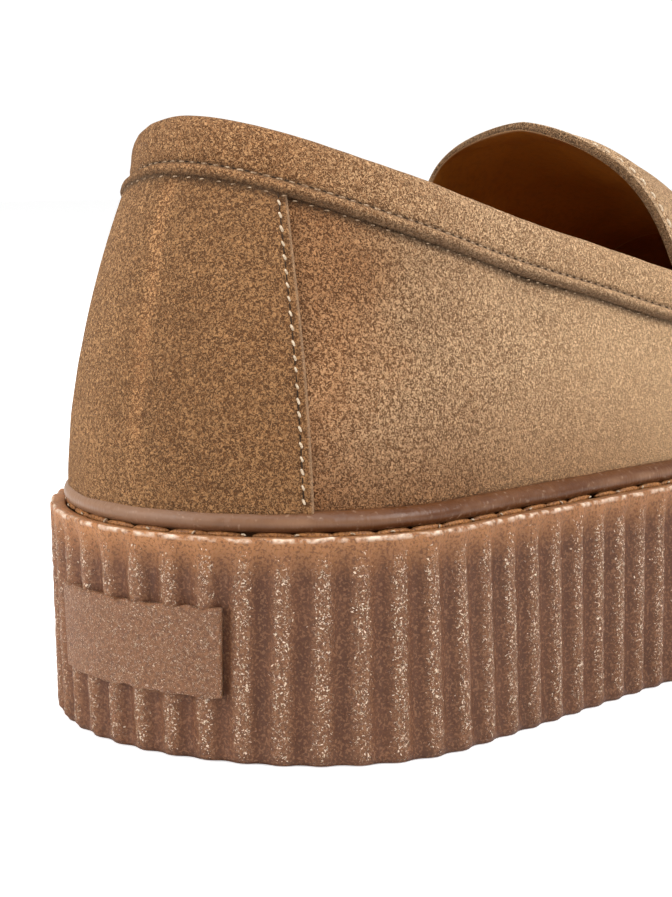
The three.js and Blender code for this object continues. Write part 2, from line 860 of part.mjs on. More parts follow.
// The tongue lies inside the band's lining at its sides, and close under the vamp at the ridge
function makeTongue() {
  const sideDepth = wall + gap + bandLining + 2 * gap;
  const ridgeDepth = wall + gap;
  const depth = (place) => lerp(sideDepth, ridgeDepth, clamp((place.up - tongueLow) / (1 - tongueLow), 0, 1) ** 3);
  const grid = crossingGrid(6, 26, () => tongueLow, () => tongueEdge, () => tongueRoot);
  return makePatch(grid, (place) => -depth(place) - tongueThick, (place) => -depth(place));
}

// Section of the band that wraps the topline, from its rolled lower edge over the top to its lining
function bandSection(column) {
  const { share, top } = column;
  const edge = lastPoint(share, top);
  const edgeHeight = edge.z - topHeight(edge.y);
  const upAt = (below) => upAtHeight(share, edgeHeight - below);
  const upStep = 0.01;
  const rising = lastPoint(share, top).sub(lastPoint(share, top - upStep)).normalize();
  const over = (offset, lift) => shellPoint(share, top, offset).addScaledVector(rising, lift);
  const inner = -wall - gap;
  return [
    shellPoint(share, upAt(bandDrop), gap),
    shellPoint(share, upAt(bandDrop), gap + bandThick),
    shellPoint(share, upAt(bandDrop - bandRoll / 2), gap + bandRoll),
    shellPoint(share, upAt(bandStitch), gap + bandThick),
    shellPoint(share, upAt(bandDrop / 3), gap + bandRoll),
    over(gap + bandRoll, gap),
    over(-wall / 2, gap + bandRoll),
    over(inner - bandLining, gap),
    shellPoint(share, upAt(bandDrop), inner - bandLining),
    shellPoint(share, upAt(bandDrop), inner),
    over(inner, gap),
    over(gap, gap),
  ];
}

function makeBand() {
  const skin = new Skin();
  const open = columns.filter((column) => !isClosed(column) && lastPoint(column.share, column.top).y < bandEnd);
  const outerSide = open.filter((column) => column.share <= 0.5);
  const innerSide = open.filter((column) => column.share > 0.5);
  const route = [...innerSide, ...outerSide];
  const sections = route.map((column) => skin.ring(bandSection(column)));
  const count = sections[0].length;
  for (let i = 0; i < sections.length - 1; i += 1) {
    for (let k = 0; k < count; k += 1) {
      const after = (k + 1) % count;
      skin.quad(sections[i][k], sections[i + 1][k], sections[i + 1][after], sections[i][after]);
    }
  }
  // Both ends: the outer leg of the U, its top and its lining
  const endFaces = [
    [0, 1, 2], [0, 2, 3], [0, 3, 11], [3, 4, 11], [4, 5, 11],
    [5, 6, 11], [6, 10, 11], [6, 7, 10],
    [7, 8, 9], [7, 9, 10],
  ];
  const closeEnd = (section, isFirst) => {
    for (const [a, b, c] of endFaces) {
      if (isFirst) {
        skin.triangle(section[a], section[b], section[c]);
      } else {
        skin.triangle(section[a], section[c], section[b]);
      }
    }
  };
  closeEnd(sections[0], true);
  closeEnd(sections.at(-1), false);
  return skin.geometry();
}

const suede = { color: 0x9a744c, roughness: 0.95, metalness: 0 };
const finishes = {
  sole: { color: 0x9c7460, roughness: 0.55, metalness: 0 },
  rand: { color: 0x8d6f5d, roughness: 0.45, metalness: 0 },
  upper: suede,
  counter_panel: { color: 0x86633f, roughness: 0.95, metalness: 0 },
  collar_band: { color: 0xa07c54, roughness: 0.95, metalness: 0 },
  saddle: { color: 0xa27d55, roughness: 0.95, metalness: 0 },
  tongue: { color: 0x7a5530, roughness: 0.8, metalness: 0 },
  insole: { color: 0x8a6238, roughness: 0.7, metalness: 0 },
};

const shapes = {
  sole: makeSole(),
  rand: makeRand(),
  upper: makeUpper(),
  counter_panel: makeCounter(),
  collar_band: makeBand(),
  saddle: makeSaddle(),
  tongue: makeTongue(),
  insole: makeInsole(),
};

// The origin lies on the floor under the middle of the whole shoe
const group = new THREE.Group();
for (const [name, geometry] of Object.entries(shapes)) {
  const mesh = new THREE.Mesh(geometry, new THREE.MeshStandardMaterial(finishes[name]));
  mesh.name = name;
  group.add(mesh);
}
const bounds = new THREE.Box3().setFromObject(group);
const centre = bounds.getCenter(new THREE.Vector3());
group.position.set(-centre.x, -centre.y, -bounds.min.z);
group.updateMatrixWorld(true);

export default group;
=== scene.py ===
import math

import bpy
import numpy as np
from mathutils import Matrix


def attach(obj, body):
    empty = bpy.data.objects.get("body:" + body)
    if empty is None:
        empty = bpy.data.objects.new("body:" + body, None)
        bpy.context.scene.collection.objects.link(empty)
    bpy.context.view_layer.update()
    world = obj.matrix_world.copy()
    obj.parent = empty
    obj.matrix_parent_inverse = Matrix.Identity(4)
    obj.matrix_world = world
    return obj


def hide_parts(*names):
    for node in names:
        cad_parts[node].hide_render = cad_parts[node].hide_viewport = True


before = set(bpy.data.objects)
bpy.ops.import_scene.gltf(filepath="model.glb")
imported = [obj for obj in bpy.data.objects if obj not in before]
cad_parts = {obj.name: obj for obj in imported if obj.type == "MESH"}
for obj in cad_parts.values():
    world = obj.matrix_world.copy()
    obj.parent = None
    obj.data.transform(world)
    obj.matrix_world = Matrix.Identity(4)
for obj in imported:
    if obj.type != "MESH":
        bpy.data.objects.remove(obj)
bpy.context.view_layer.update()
scene = bpy.context.scene

# Sizes are in millimetres, from the back edge of the heel, with the toe along +Y and the outer side at +X.
millimetre = 0.001
shoeShift = np.array([-0.07, -141.5, 0.0])  # from the back edge of the heel to the frame's origin

# Tables and the last

solePlan = {
    "length": 283.0, "heelWidth": 76.4, "ballWidth": 98.0,
    "heelRound": 37.0, "heelSquare": 1.9, "toeRound": 78.0, "toeSquare": 2.15, "toeSwing": 7.0,
    "footFlare": 2.4, "heelHeight": 35.0, "ballHeight": 31.0, "toeThickness": 27.0, "toeSpring": 8.0,
}
upperSizes = {
    "wall": 1.8, "gap": 0.3, "inset": 4.6, "channelDepth": 1.0,
    "backHeight": 63.9, "throatHeight": 31.6, "throatStart": 0.485, "throatEnd": 0.605,
    "instepHeight": 65.6, "toeBoxHeight": 27.0, "ridgeShift": 7.6, "ridgeBack": 42.0, "ridgeFront": 256.0,
}

# The first column of each table is its key
planTable = {
    "along": [0, 0.1, 0.21, 0.32, 0.43, 0.54, 0.63, 0.7, 0.79, 0.9, 1],
    "spread": [-0.04, 0.03, 0.17, 0.3, 0.46, 0.74, 0.95, 1, 0.98, 0.95, 0.95],
    "swing": [0, 0.06, 0.2, 0.33, 0.4, 0.34, 0.2, 0.02, -0.26, -0.68, -1],
}
sideTable = {
    "along": [0, 0.4, 0.55, 0.66, 0.76, 0.88, 1],
    "drop": [0, 0, 0.5, 0.92, 1, 1, 1],
    "lift": [0, 0, 0, 0, 0.12, 0.46, 1],
    "spring": [0, 0, 0, 0, 0.06, 0.4, 1],
}
ridgeTable = {
    "along": [0.12, 0.24, 0.34, 0.424, 0.46, 0.495, 0.53, 0.6, 0.66, 0.72, 0.8, 0.86, 0.92],
    "rise": [1.62, 1.5, 1.22, 1, 0.95, 0.87, 0.76, 0.6, 0.49, 0.35, 0.16, 0.04, -0.08],
    "shift": [0.1, 0.5, 0.85, 1, 1, 1, 0.97, 0.9, 0.8, 0.7, 0.5, 0.35, 0.2],
}
wallTable = {
    "around": [0, 0.08, 0.2, 0.3, 0.41, 0.47, 0.53, 0.62, 0.75, 0.88, 1],
    "lean": [-0.07, -0.06, -0.01, 0.03, 0.04, 0.05, 0.05, 0.02, -0.03, -0.06, -0.08],
    "stand": [0.36, 0.37, 0.4, 0.47, 0.58, 0.5, 0.45, 0.45, 0.48, 0.52, 0.55],
    "crown": [0.55, 0.57, 0.62, 0.68, 0.78, 0.6, 0.49, 0.5, 0.54, 0.58, 0.6],
    "innerCrown": [0.55, 0.54, 0.62, 0.88, 1.18, 1.02, 0.8, 0.62, 0.56, 0.58, 0.6],
}
toplineTable = {
    "along": [0.04, 0.075, 0.12, 0.17, 0.23, 0.3, 0.36, 0.42, 0.5, 0.6],
    "drop": [0, 0.14, 0.3, 0.434, 0.58, 0.72, 0.85, 0.96, 1, 1],
}
footTable = {
    "around": [0, 0.045, 0.09, 0.14, 0.22, 0.34, 0.6, 1],
    "outer": [-1, -0.6, 0.3, 1, 0.8, 0.3, 0, -1],
    "inner": [-1, -0.8, -0.5, -0.2, 0.1, 0.2, 0, -1],
}


def tableValue(table, column, at):
    keys = np.array(next(iter(table.values())), float)
    values = np.array(table[column], float)
    place = np.clip(at, keys[0], keys[-1])
    row = np.clip(np.searchsorted(keys, place, side="left") - 1, 0, len(keys) - 2)
    before, after = np.maximum(np.arange(len(keys)) - 1, 0), np.minimum(np.arange(len(keys)) + 1, len(keys) - 1)
    slopes = (values[after] - values[before]) / (keys[after] - keys[before])
    span = keys[row + 1] - keys[row]
    s = (place - keys[row]) / span
    start = values[row] * (2 * s**3 - 3 * s**2 + 1) + slopes[row] * span * (s**3 - 2 * s**2 + s)
    end = values[row + 1] * (3 * s**2 - 2 * s**3) + slopes[row + 1] * span * (s**3 - s**2)
    return start + end


def lerp(a, b, share):
    return a + (b - a) * share


def smooth(value, low, high):
    s = np.clip((value - low) / (high - low), 0, 1)
    return s * s * (3 - 2 * s)


def bell(value, middle, width):
    return np.exp(-(((value - middle) / width) ** 2))


def unit(vectors):
    return vectors / np.maximum(np.linalg.norm(vectors, axis=-1, keepdims=True), 1e-9)


def solve(rising, value, low, high):  # where a rising function reaches a value, by halving
    for _ in range(34):
        middle = (low + high) / 2
        short = rising(middle) < value
        low, high = np.where(short, middle, low), np.where(short, high, middle)
    return (low + high) / 2


def topHeight(y):
    along = y / solePlan["length"]
    lift = solePlan["toeSpring"] + solePlan["toeThickness"] - solePlan["ballHeight"]
    return (lerp(solePlan["heelHeight"], solePlan["ballHeight"], tableValue(sideTable, "drop", along))
            + lift * tableValue(sideTable, "lift", along))


def footHeight(y):
    return solePlan["toeSpring"] * np.maximum(tableValue(sideTable, "spring", y / solePlan["length"]), 0)


def outlineSide(side):
    share = (1 - np.cos(np.pi * np.arange(1201) / 1200)) / 2
    y = solePlan["length"] * share
    heelPart = np.clip((solePlan["heelRound"] - y) / solePlan["heelRound"], 0, 1)
    toePart = np.clip((y - solePlan["length"] + solePlan["toeRound"]) / solePlan["toeRound"], 0, 1)
    heelEnd = (1 - heelPart ** solePlan["heelSquare"]) ** (1 / solePlan["heelSquare"])
    toeEnd = (1 - toePart ** solePlan["toeSquare"]) ** (1 / solePlan["toeSquare"])
    half = lerp(solePlan["heelWidth"] / 2, solePlan["ballWidth"] / 2, tableValue(planTable, "spread", share))
    x = solePlan["toeSwing"] * tableValue(planTable, "swing", share) + side * half * heelEnd * toeEnd
    arc = np.concatenate([[0], np.cumsum(np.hypot(np.diff(x), np.diff(y)))])
    return {"x": x, "y": y, "arc": arc}


outerLine, innerLine = outlineSide(1), outlineSide(-1)
outerLength, innerLength = outerLine["arc"][-1], innerLine["arc"][-1]


def wayOf(share):
    turn = np.mod(share, 1.0)
    return np.where(turn <= 0.5, turn * 2, (1 - turn) * 2)


def onOutline(share):
    turn = np.mod(share, 1.0)
    way = wayOf(share)
    outer, inner = way * outerLength, way * innerLength
    return [np.where(turn <= 0.5, np.interp(outer, outerLine["arc"], outerLine[axis]),
                     np.interp(inner, innerLine["arc"], innerLine[axis])) for axis in ("x", "y")]


def insetPoint(share, inset):
    x, y = onOutline(share)
    beforeX, beforeY = onOutline(share - 0.004)
    afterX, afterY = onOutline(share + 0.004)
    length = np.hypot(afterX - beforeX, afterY - beforeY)
    return x - (afterY - beforeY) / length * inset, y + (afterX - beforeX) / length * inset


def shareAtArc(arc):  # lengths from the heel's middle, positive by the outer side
    return np.where(arc >= 0, 0.5 * arc / outerLength, 1 + 0.5 * arc / innerLength)


def arcOfShare(share):
    turn = np.mod(share, 1.0)
    return np.where(turn <= 0.5, turn * 2 * outerLength, (turn - 1) * 2 * innerLength)


def wallPoint(share, level, inset):  # the sole's wall: level 0 is its foot and 1 its top edge
    turn = np.mod(share, 1.0)
    way = wayOf(share)
    flare = solePlan["footFlare"] * np.where(
        turn <= 0.5, tableValue(footTable, "outer", way), tableValue(footTable, "inner", way))
    lowX, lowY = insetPoint(share, inset - flare)
    highX, highY = insetPoint(share, inset)
    return np.stack(np.broadcast_arrays(
        lerp(lowX, highX, level), lerp(lowY, highY, level),
        lerp(footHeight(lowY), topHeight(highY), level)), -1)


floorLift = upperSizes["gap"] - upperSizes["channelDepth"]


def footOfUpper(share):
    x, y = insetPoint(share, upperSizes["inset"])
    return np.stack([x, y, topHeight(y) + floorLift], -1)


def ridgeHeight(y):
    rise = tableValue(ridgeTable, "rise", y / solePlan["length"])
    return topHeight(y) + lerp(upperSizes["toeBoxHeight"], upperSizes["instepHeight"], rise)


footBack, footFront = footOfUpper(np.array(0.0))[1], footOfUpper(np.array(0.5))[1]


def ridgePoint(way):
    middleY = (footOfUpper(way / 2)[..., 1] + footOfUpper(1 - way / 2)[..., 1]) / 2
    y = lerp(upperSizes["ridgeBack"], upperSizes["ridgeFront"], (middleY - footBack) / (footFront - footBack))
    along = y / solePlan["length"]
    x = (solePlan["toeSwing"] * tableValue(planTable, "swing", along)
         - upperSizes["ridgeShift"] * tableValue(ridgeTable, "shift", along))
    slope = ridgeHeight(y + 0.5) - ridgeHeight(y - 0.5)
    return np.stack([x, y, ridgeHeight(y)], -1), slope


def lastPoint(share, up):
    share, up = np.asarray(share, float), np.asarray(up, float)[..., None]
    way = wayOf(share)
    foot = footOfUpper(share)
    ridge, slope = ridgePoint(way)
    lean = tableValue(wallTable, "lean", way)
    stand = tableValue(wallTable, "stand", way)
    crown = np.where(np.mod(share, 1.0) <= 0.5, tableValue(wallTable, "crown", way),
                     tableValue(wallTable, "innerCrown", way))
    firstPull = lerp(foot, ridge, np.stack([lean, lean, stand], -1))
    crownY = lerp(ridge[..., 1], foot[..., 1], crown)
    secondPull = np.stack([lerp(ridge[..., 0], foot[..., 0], crown), crownY,
                           ridge[..., 2] + slope * (crownY - ridge[..., 1])], -1)
    rest = 1 - up
    return rest**3 * foot + 3 * rest**2 * up * firstPull + 3 * rest * up**2 * secondPull + up**3 * ridge


def lastNormal(share, up):
    share, up = np.asarray(share, float), np.asarray(up, float)
    around = lastPoint(share + 0.003, up) - lastPoint(share - 0.003, up)
    upward = lastPoint(share, up + 0.004) - lastPoint(share, np.maximum(up - 0.004, 0))
    normal = unit(np.cross(around, upward))
    slope = ridgePoint(wayOf(share))[1]
    onRidge = unit(np.stack([np.zeros_like(slope), -slope, np.ones_like(slope)], -1))
    return np.where((up > 0.999)[..., None], onRidge, normal)


def shellPoint(share, up, offset):
    return lastPoint(share, up) + lastNormal(share, up) * np.asarray(offset, float)[..., None]


def heightAt(share, up):
    p = lastPoint(share, up)
    return p[..., 2] - topHeight(p[..., 1])


def upAtHeight(share, height):
    share, height = np.broadcast_arrays(np.asarray(share, float), np.asarray(height, float))
    return solve(lambda up: heightAt(share, up), height, np.zeros(share.shape), np.ones(share.shape))


def toplineUp(share):
    def overTopline(up):
        p = lastPoint(share, up)
        drop = tableValue(toplineTable, "drop", p[..., 1] / solePlan["length"])
        return p[..., 2] - topHeight(p[..., 1]) - lerp(upperSizes["backHeight"], upperSizes["throatHeight"], drop)
    sideUp = solve(overTopline, 0, np.zeros(share.shape), np.ones(share.shape))
    return lerp(sideUp, 1, smooth(wayOf(share), upperSizes["throatStart"], upperSizes["throatEnd"]))


def shareOf(way, outer):
    return np.where(outer, way / 2, 1 - way / 2)


def placeAlong(across, y):  # across runs from the inner foot (-1) over the ridge (0) to the outer foot (1)
    up = 1 - np.abs(across)
    outer = across >= 0
    way = solve(lambda at: lastPoint(shareOf(at, outer), up)[..., 1], y,
                np.full(np.shape(y), 0.05), np.full(np.shape(y), 0.97))
    return shareOf(way, outer), up


def ripples(points, seed, reach):  # a soft uneven swell, mostly between -1 and 1
    rng = np.random.default_rng(seed)
    total, waves = np.zeros(points.shape[:-1]), 18
    for _ in range(waves):
        direction = unit(rng.normal(size=3))
        total += np.sin(points @ direction * (2 * math.pi / (reach * rng.uniform(0.6, 1.8))) + rng.uniform(0, 6.28))
    return total / math.sqrt(waves)


def swellOf(points, sizes):
    return sum(height * ripples(points, seed, reach) for height, seed, reach in sizes["swell"])


def seamDip(fromEdge, sizes):
    return -sizes["dip"] * bell(fromEdge, sizes["seamIn"], sizes["dipWidth"])


print("last ready")

# Meshes


def buildObject(name, points, faces, materials, faceMaterials=None, values=None):
    mesh = bpy.data.meshes.new(name)
    mesh.from_pydata(((points + shoeShift) * millimetre).tolist(), [], faces)
    for material in materials:
        mesh.materials.append(material)
    if faceMaterials is not None:
        mesh.polygons.foreach_set("material_index", np.asarray(faceMaterials, np.int32))
    for key, data in (values or {}).items():
        data = np.asarray(data, np.float32)
        kind = "FLOAT_VECTOR" if data.ndim == 2 else "FLOAT"
        layer = mesh.attributes.new(key, kind, "POINT")
        layer.data.foreach_set("vector" if data.ndim == 2 else "value", data.ravel())
    mesh.validate()
    mesh.shade_smooth()
    piece = bpy.data.objects.new(name, mesh)
    scene.collection.objects.link(piece)
    return piece


def gridFaces(rows, columns, start=0, rowLoop=False, columnLoop=False, flip=False):
    r = np.arange(rows if rowLoop else rows - 1)[:, None]
    c = np.arange(columns if columnLoop else columns - 1)[None, :]
    a, b = r * columns + c, r * columns + (c + 1) % columns
    d, e = (r + 1) % rows * columns + c, (r + 1) % rows * columns + (c + 1) % columns
    quads = np.stack([a, b, e, d], -1).reshape(-1, 4) + start
    return (quads[:, ::-1] if flip else quads).tolist()


def bridge(ringA, ringB, loop=False):
    n = len(ringA)
    return [[int(ringA[i]), int(ringA[(i + 1) % n]), int(ringB[(i + 1) % n]), int(ringB[i])]
            for i in range(n if loop else n - 1)]


def closedPatch(low, high, over=0, under=1, edge=2):  # two grids, with walls round their edges
    rows, columns = high.shape[:2]
    count, cells = rows * columns, (rows - 1) * (columns - 1)
    index = np.arange(count).reshape(rows, columns)
    faces = gridFaces(rows, columns) + gridFaces(rows, columns, count, flip=True)
    for side in (index[:, 0], index[::-1, -1], index[0, ::-1], index[-1]):
        faces += bridge(side, side + count)
    kinds = [over] * cells + [under] * cells + [edge] * (len(faces) - 2 * cells)
    return np.concatenate([high.reshape(-1, 3), low.reshape(-1, 3)]), faces, kinds


def lengthsDown(base):  # length from the first row of a grid, over its surface
    steps = np.linalg.norm(np.diff(base, axis=0), axis=-1)
    return np.concatenate([np.zeros((1, base.shape[1])), np.cumsum(steps, 0)])


def edgeDistance(base):
    down, side = lengthsDown(base), lengthsDown(base.transpose(1, 0, 2)).T
    return np.minimum(np.minimum(down, down[-1:] - down), np.minimum(side, side[:, -1:] - side))


def edgeRows(length, step):  # shares of a length, close together at both ends
    ends = np.array([0, 0.15, 0.35, 0.6, 0.95, 1.4, 2.0, 2.8])
    middle = np.linspace(3.6, length - 3.6, max(int((length - 7.2) / step), 2))
    return np.concatenate([ends, middle, length - ends[::-1]]) / length


def roundOver(share):
    s = np.clip(share, 0, 1)
    return 0.3 + 0.7 * np.sqrt(1 - (1 - s) ** 2)


# Node helpers


class Value:  # a node's output that works in sums
    def __init__(self, socket):
        self.socket = socket

    def __add__(self, other):
        return calc("ADD", self, other)

    def __sub__(self, other):
        return calc("SUBTRACT", self, other)

    def __rsub__(self, other):
        return calc("SUBTRACT", other, self)

    def __mul__(self, other):
        return calc("MULTIPLY", self, other)

    def __pow__(self, other):
        return calc("POWER", self, other)

    def __abs__(self):
        return calc("ABSOLUTE", self)


def addNode(tree, kind, inputs=None, **settings):
    node = tree.nodes.new(kind)
    for key, value in settings.items():
        setattr(node, key, value)
    for key, value in (inputs or {}).items():
        putIn(tree, node.inputs[key], value)
    return node


def putIn(tree, socket, value):
    if isinstance(value, Value):
        tree.links.new(value.socket, socket)
    else:
        socket.default_value = value


def valueOf(tree, kind, inputs=None, output=0, **settings):
    return Value(addNode(tree, kind, inputs, **settings).outputs[output])


def treeOf(*given):
    return next(each.socket.id_data for each in given if isinstance(each, Value))


def calc(operation, a, b=None, clamp=False):
    inputs = {0: a} if b is None else {0: a, 1: b}
    return valueOf(treeOf(a, b), "ShaderNodeMath", inputs, operation=operation, use_clamp=clamp)


def remap(value, low, high, toLow=0.0, toHigh=1.0, kind="LINEAR"):
    return valueOf(treeOf(value), "ShaderNodeMapRange", {0: value, 1: low, 2: high, 3: toLow, 4: toHigh},
                   interpolation_type=kind)


def mixColour(factor, a, b, blend="MIX"):
    a, b = (colour if isinstance(colour, Value) else (*colour, 1) for colour in (a, b))
    return valueOf(treeOf(factor, a, b), "ShaderNodeMix", {0: factor, 6: a, 7: b}, 2, data_type="RGBA",
                   blend_type=blend)


def tint(factor, colour, by):
    return mixColour(factor, colour, by, "MULTIPLY")


def noise(vector, scale, detail=2.0, roughness=0.5, distortion=0.0):
    return valueOf(treeOf(vector), "ShaderNodeTexNoise", {
        "Vector": vector, "Scale": scale, "Detail": detail, "Roughness": roughness, "Distortion": distortion})


def stretched(vector, scale):
    return valueOf(treeOf(vector), "ShaderNodeMapping", {0: vector, 3: scale})


def makeVector(tree, x=0.0, y=0.0, z=0.0):
    return valueOf(tree, "ShaderNodeCombineXYZ", {0: x, 1: y, 2: z})


def splitVector(vector):
    return [Value(socket) for socket in addNode(treeOf(vector), "ShaderNodeSeparateXYZ", {0: vector}).outputs]


def newGroup(name, inputs, outputs, kind="ShaderNodeTree"):
    tree = bpy.data.node_groups.new(name, kind)
    for label, (socketType, default) in inputs.items():
        socket = tree.interface.new_socket(label, in_out="INPUT", socket_type=socketType)
        if default is not None:
            socket.default_value = default
    for label, socketType in outputs.items():
        tree.interface.new_socket(label, in_out="OUTPUT", socket_type=socketType)
    given = tree.nodes.new("NodeGroupInput").outputs
    return tree, {label: Value(given[label]) for label in inputs}, tree.nodes.new("NodeGroupOutput").inputs


colourSocket, floatSocket, vectorSocket = "NodeSocketColor", "NodeSocketFloat", "NodeSocketVector"
geometrySocket, seedSocket, materialSocket = "NodeSocketGeometry", "NodeSocketInt", "NodeSocketMaterial"
surfaceOutputs = {"Colour": colourSocket, "Roughness": floatSocket, "Relief": floatSocket}


def napGroup():  # flecks, patches and relief of suede
    tree, given, out = newGroup("suedeNap", {
        "Vector": (vectorSocket, None), "Ground": (colourSocket, (0.4, 0.25, 0.14, 1)),
        "Deep": (colourSocket, (0.2, 0.12, 0.06, 1)), "Light": (colourSocket, (0.6, 0.42, 0.26, 1)),
        "Fleck scale": (floatSocket, 2500.0), "Fleck contrast": (floatSocket, 1.0), "Patches": (floatSocket, 0.5),
    }, surfaceOutputs)
    place, deep, light, patches = (given[label] for label in ("Vector", "Deep", "Light", "Patches"))
    fleck = noise(place, given["Fleck scale"], 1.5, 0.5, 1.4)
    blotch = noise(place, 75.0, 3.0, 0.6, 0.4)
    cloud = noise(place, 24.0, 2.0, 0.5, 0.3)
    brushed = remap(noise(place, 33.0, 2.0, 0.5, 0.4), 0.36, 0.62, 1.15, 0.6)
    centred = (fleck - 0.5) * (given["Fleck contrast"] * brushed)
    patch = blotch * 0.5 + cloud * 0.5
    colour = mixColour(remap(patch, 0.5, 0.34) * patches, given["Ground"], deep)
    colour = mixColour(remap(patch, 0.5, 0.66) * patches, colour, light)
    colour = mixColour(remap(centred, 0.0, -0.16) * 0.85, colour, deep)
    colour = mixColour(remap(centred, 0.02, 0.17) * 0.75, colour, light)
    putIn(tree, out["Colour"], colour)
    putIn(tree, out["Roughness"], remap(fleck, 0.3, 0.7, 0.98, 0.84))
    putIn(tree, out["Relief"], fleck + blotch * 0.2)
    return tree


def speckGroup():  # pale crumbs and mottling of foamed rubber
    tree, given, out = newGroup("rubberSpeck", {
        "Vector": (vectorSocket, None), "Ground": (colourSocket, (0.3, 0.17, 0.1, 1)),
        "Speck": (colourSocket, (0.7, 0.55, 0.42, 1)), "Amount": (floatSocket, 0.5), "Scale": (floatSocket, 1900.0),
    }, surfaceOutputs)
    place = given["Vector"]
    grain = noise(place, given["Scale"], 3.0, 0.62, 1.8)
    worm = noise(place, given["Scale"] * 0.5, 2.0, 0.6, 2.6)
    over = grain * 0.6 + worm * 0.4 - remap(given["Amount"], 0.0, 1.0, 0.68, 0.47)
    mask = remap(over, 0.0, 0.045)
    mottle = noise(place, 190.0, 3.0, 0.55, 0.5)
    pores = noise(place, 2300.0, 1.0, 0.5, 0.6)
    ground = mixColour(remap(mottle, 0.35, 0.65, 0.0, 0.3), given["Ground"], (0.16, 0.068, 0.033))
    ground = mixColour(remap(pores, 0.5, 0.36, 0.0, 0.6), ground, (0.085, 0.034, 0.018))
    ground = mixColour(remap(pores, 0.52, 0.66, 0.0, 0.45), ground, (0.31, 0.152, 0.078))
    putIn(tree, out["Colour"], mixColour(mask, ground, given["Speck"]))
    putIn(tree, out["Roughness"], remap(mask, 0.0, 1.0, 0.5, 0.75))
    putIn(tree, out["Relief"], mask * 0.8 + grain * 0.5)
    return tree


def newMaterial(name, settings):
    material = bpy.data.materials.new(name)
    material.use_nodes = True
    tree = material.node_tree
    shader = tree.nodes["Principled BSDF"].inputs
    for key, value in settings.items():
        shader[key].default_value = value
    return material, tree, shader, valueOf(tree, "ShaderNodeTexCoord", output="Object")


def attributeOf(tree, name, output="Fac"):
    return valueOf(tree, "ShaderNodeAttribute", output=output, attribute_name=name)


def finish(material, shader, colour, roughness, relief, strength, distance):
    tree = material.node_tree
    putIn(tree, shader["Base Color"], colour)
    putIn(tree, shader["Roughness"], roughness)
    bump = valueOf(tree, "ShaderNodeBump", {"Strength": strength, "Distance": distance, "Height": relief})
    putIn(tree, shader["Normal"], bump)
    return material


suedeNap, rubberSpeck = napGroup(), speckGroup()
suedeSheen = {
    "Sheen Weight": 0.12, "Sheen Roughness": 0.5, "Sheen Tint": (0.95, 0.7, 0.45, 1), "Specular IOR Level": 0.18}


def suedeMaterial(name, colours, patches, contrast, tone):
    material, tree, shader, place = newMaterial(name, suedeSheen)
    nap = addNode(tree, "ShaderNodeGroup", node_tree=suedeNap)
    given = {**{key: (*colour, 1) for key, colour in colours.items()}, "Patches": patches, "Fleck contrast": contrast}
    for key, value in {"Vector": place, **given}.items():
        putIn(tree, nap.inputs[key], value)
    colour, roughness, relief = (Value(nap.outputs[key]) for key in surfaceOutputs)
    return finish(material, shader, tone(tree, colour, place), roughness, relief, 1.0, 0.0012)


def shadeUnderBand(colour, below):
    shade = remap(below, 6.9, 7.5) * remap(below, 9.0, 7.8)
    return mixColour(shade * 0.8, colour, (0.05, 0.022, 0.009))


# The attribute "place" holds the length round the foot, the height over the sole and the depth under the topline


def upperTone(tree, colour, place):
    around, height, below = splitVector(attributeOf(tree, "place", "Vector"))
    reach = abs(around) + (noise(place, 45.0) - 0.5) * 40.0
    # painted shade: darker towards the heel, more so higher up
    rearShade = remap(reach, 88.0, 34.0) * remap(height, 18.0, 40.0, 0.35, 0.85)
    colour = tint(rearShade, colour, (0.5, 0.4, 0.3))
    colour = tint(remap(reach, 50.0, 33.0), colour, (0.94, 0.82, 0.72))
    # painted shade: darker towards the bottom, along the rand
    colour = tint(remap(height, 24.0, 3.5), colour, (0.52, 0.39, 0.29))
    # paler and smoother towards the front: partly brushed nap, partly painted light
    colour = mixColour(remap(reach, 62.0, 140.0) * 0.5, colour, (0.8, 0.515, 0.278))
    return shadeUnderBand(colour, below)


def counterTone(tree, colour, place):
    around, height, below = splitVector(attributeOf(tree, "place", "Vector"))
    # paler streak down the centre-back: partly scuffed nap along the fold, partly painted highlight
    across = abs(around + (noise(place, 90.0) - 0.5) * 5.0)
    streak = remap(across, 2.6, 0.4) * remap(height, 4.0, 18.0)
    colour = tint(streak * 0.7, colour, (1.5, 1.5, 1.55))
    # painted light: paler towards the inner side, where the fill light falls
    colour = tint(remap(around, 8.0, -14.0), colour, (1.4, 1.48, 1.6))
    # painted highlight along the rounded side edges of the panel
    rim = remap(attributeOf(tree, "fromSide"), 0.75, 0.35) * 0.55
    return shadeUnderBand(mixColour(rim, colour, (0.5, 0.31, 0.18)), below)


def collarTone(tree, colour, place):
    around, _, below = splitVector(attributeOf(tree, "place", "Vector"))
    # painted shade: darker towards the heel
    colour = tint(remap(abs(around), 74.0, 24.0), colour, (0.66, 0.54, 0.42))
    # paler and smoother towards the front: partly brushed nap, partly painted light
    colour = mixColour(remap(around, 70.0, 150.0) * 0.4, colour, (0.78, 0.5, 0.27))
    inGroove = remap(abs(below - 5.4), 0.6, 0.1)
    shade = calc("MAXIMUM", inGroove, remap(below, 6.5, 7.3))
    return mixColour(shade * 0.65, colour, (0.075, 0.034, 0.014))


def edgeTone(tree, colour, place):
    return mixColour(remap(attributeOf(tree, "fromEdge"), 1.0, 0.1) * 0.4, colour, (0.6, 0.42, 0.27))


def plainTone(tree, colour, place):
    return colour


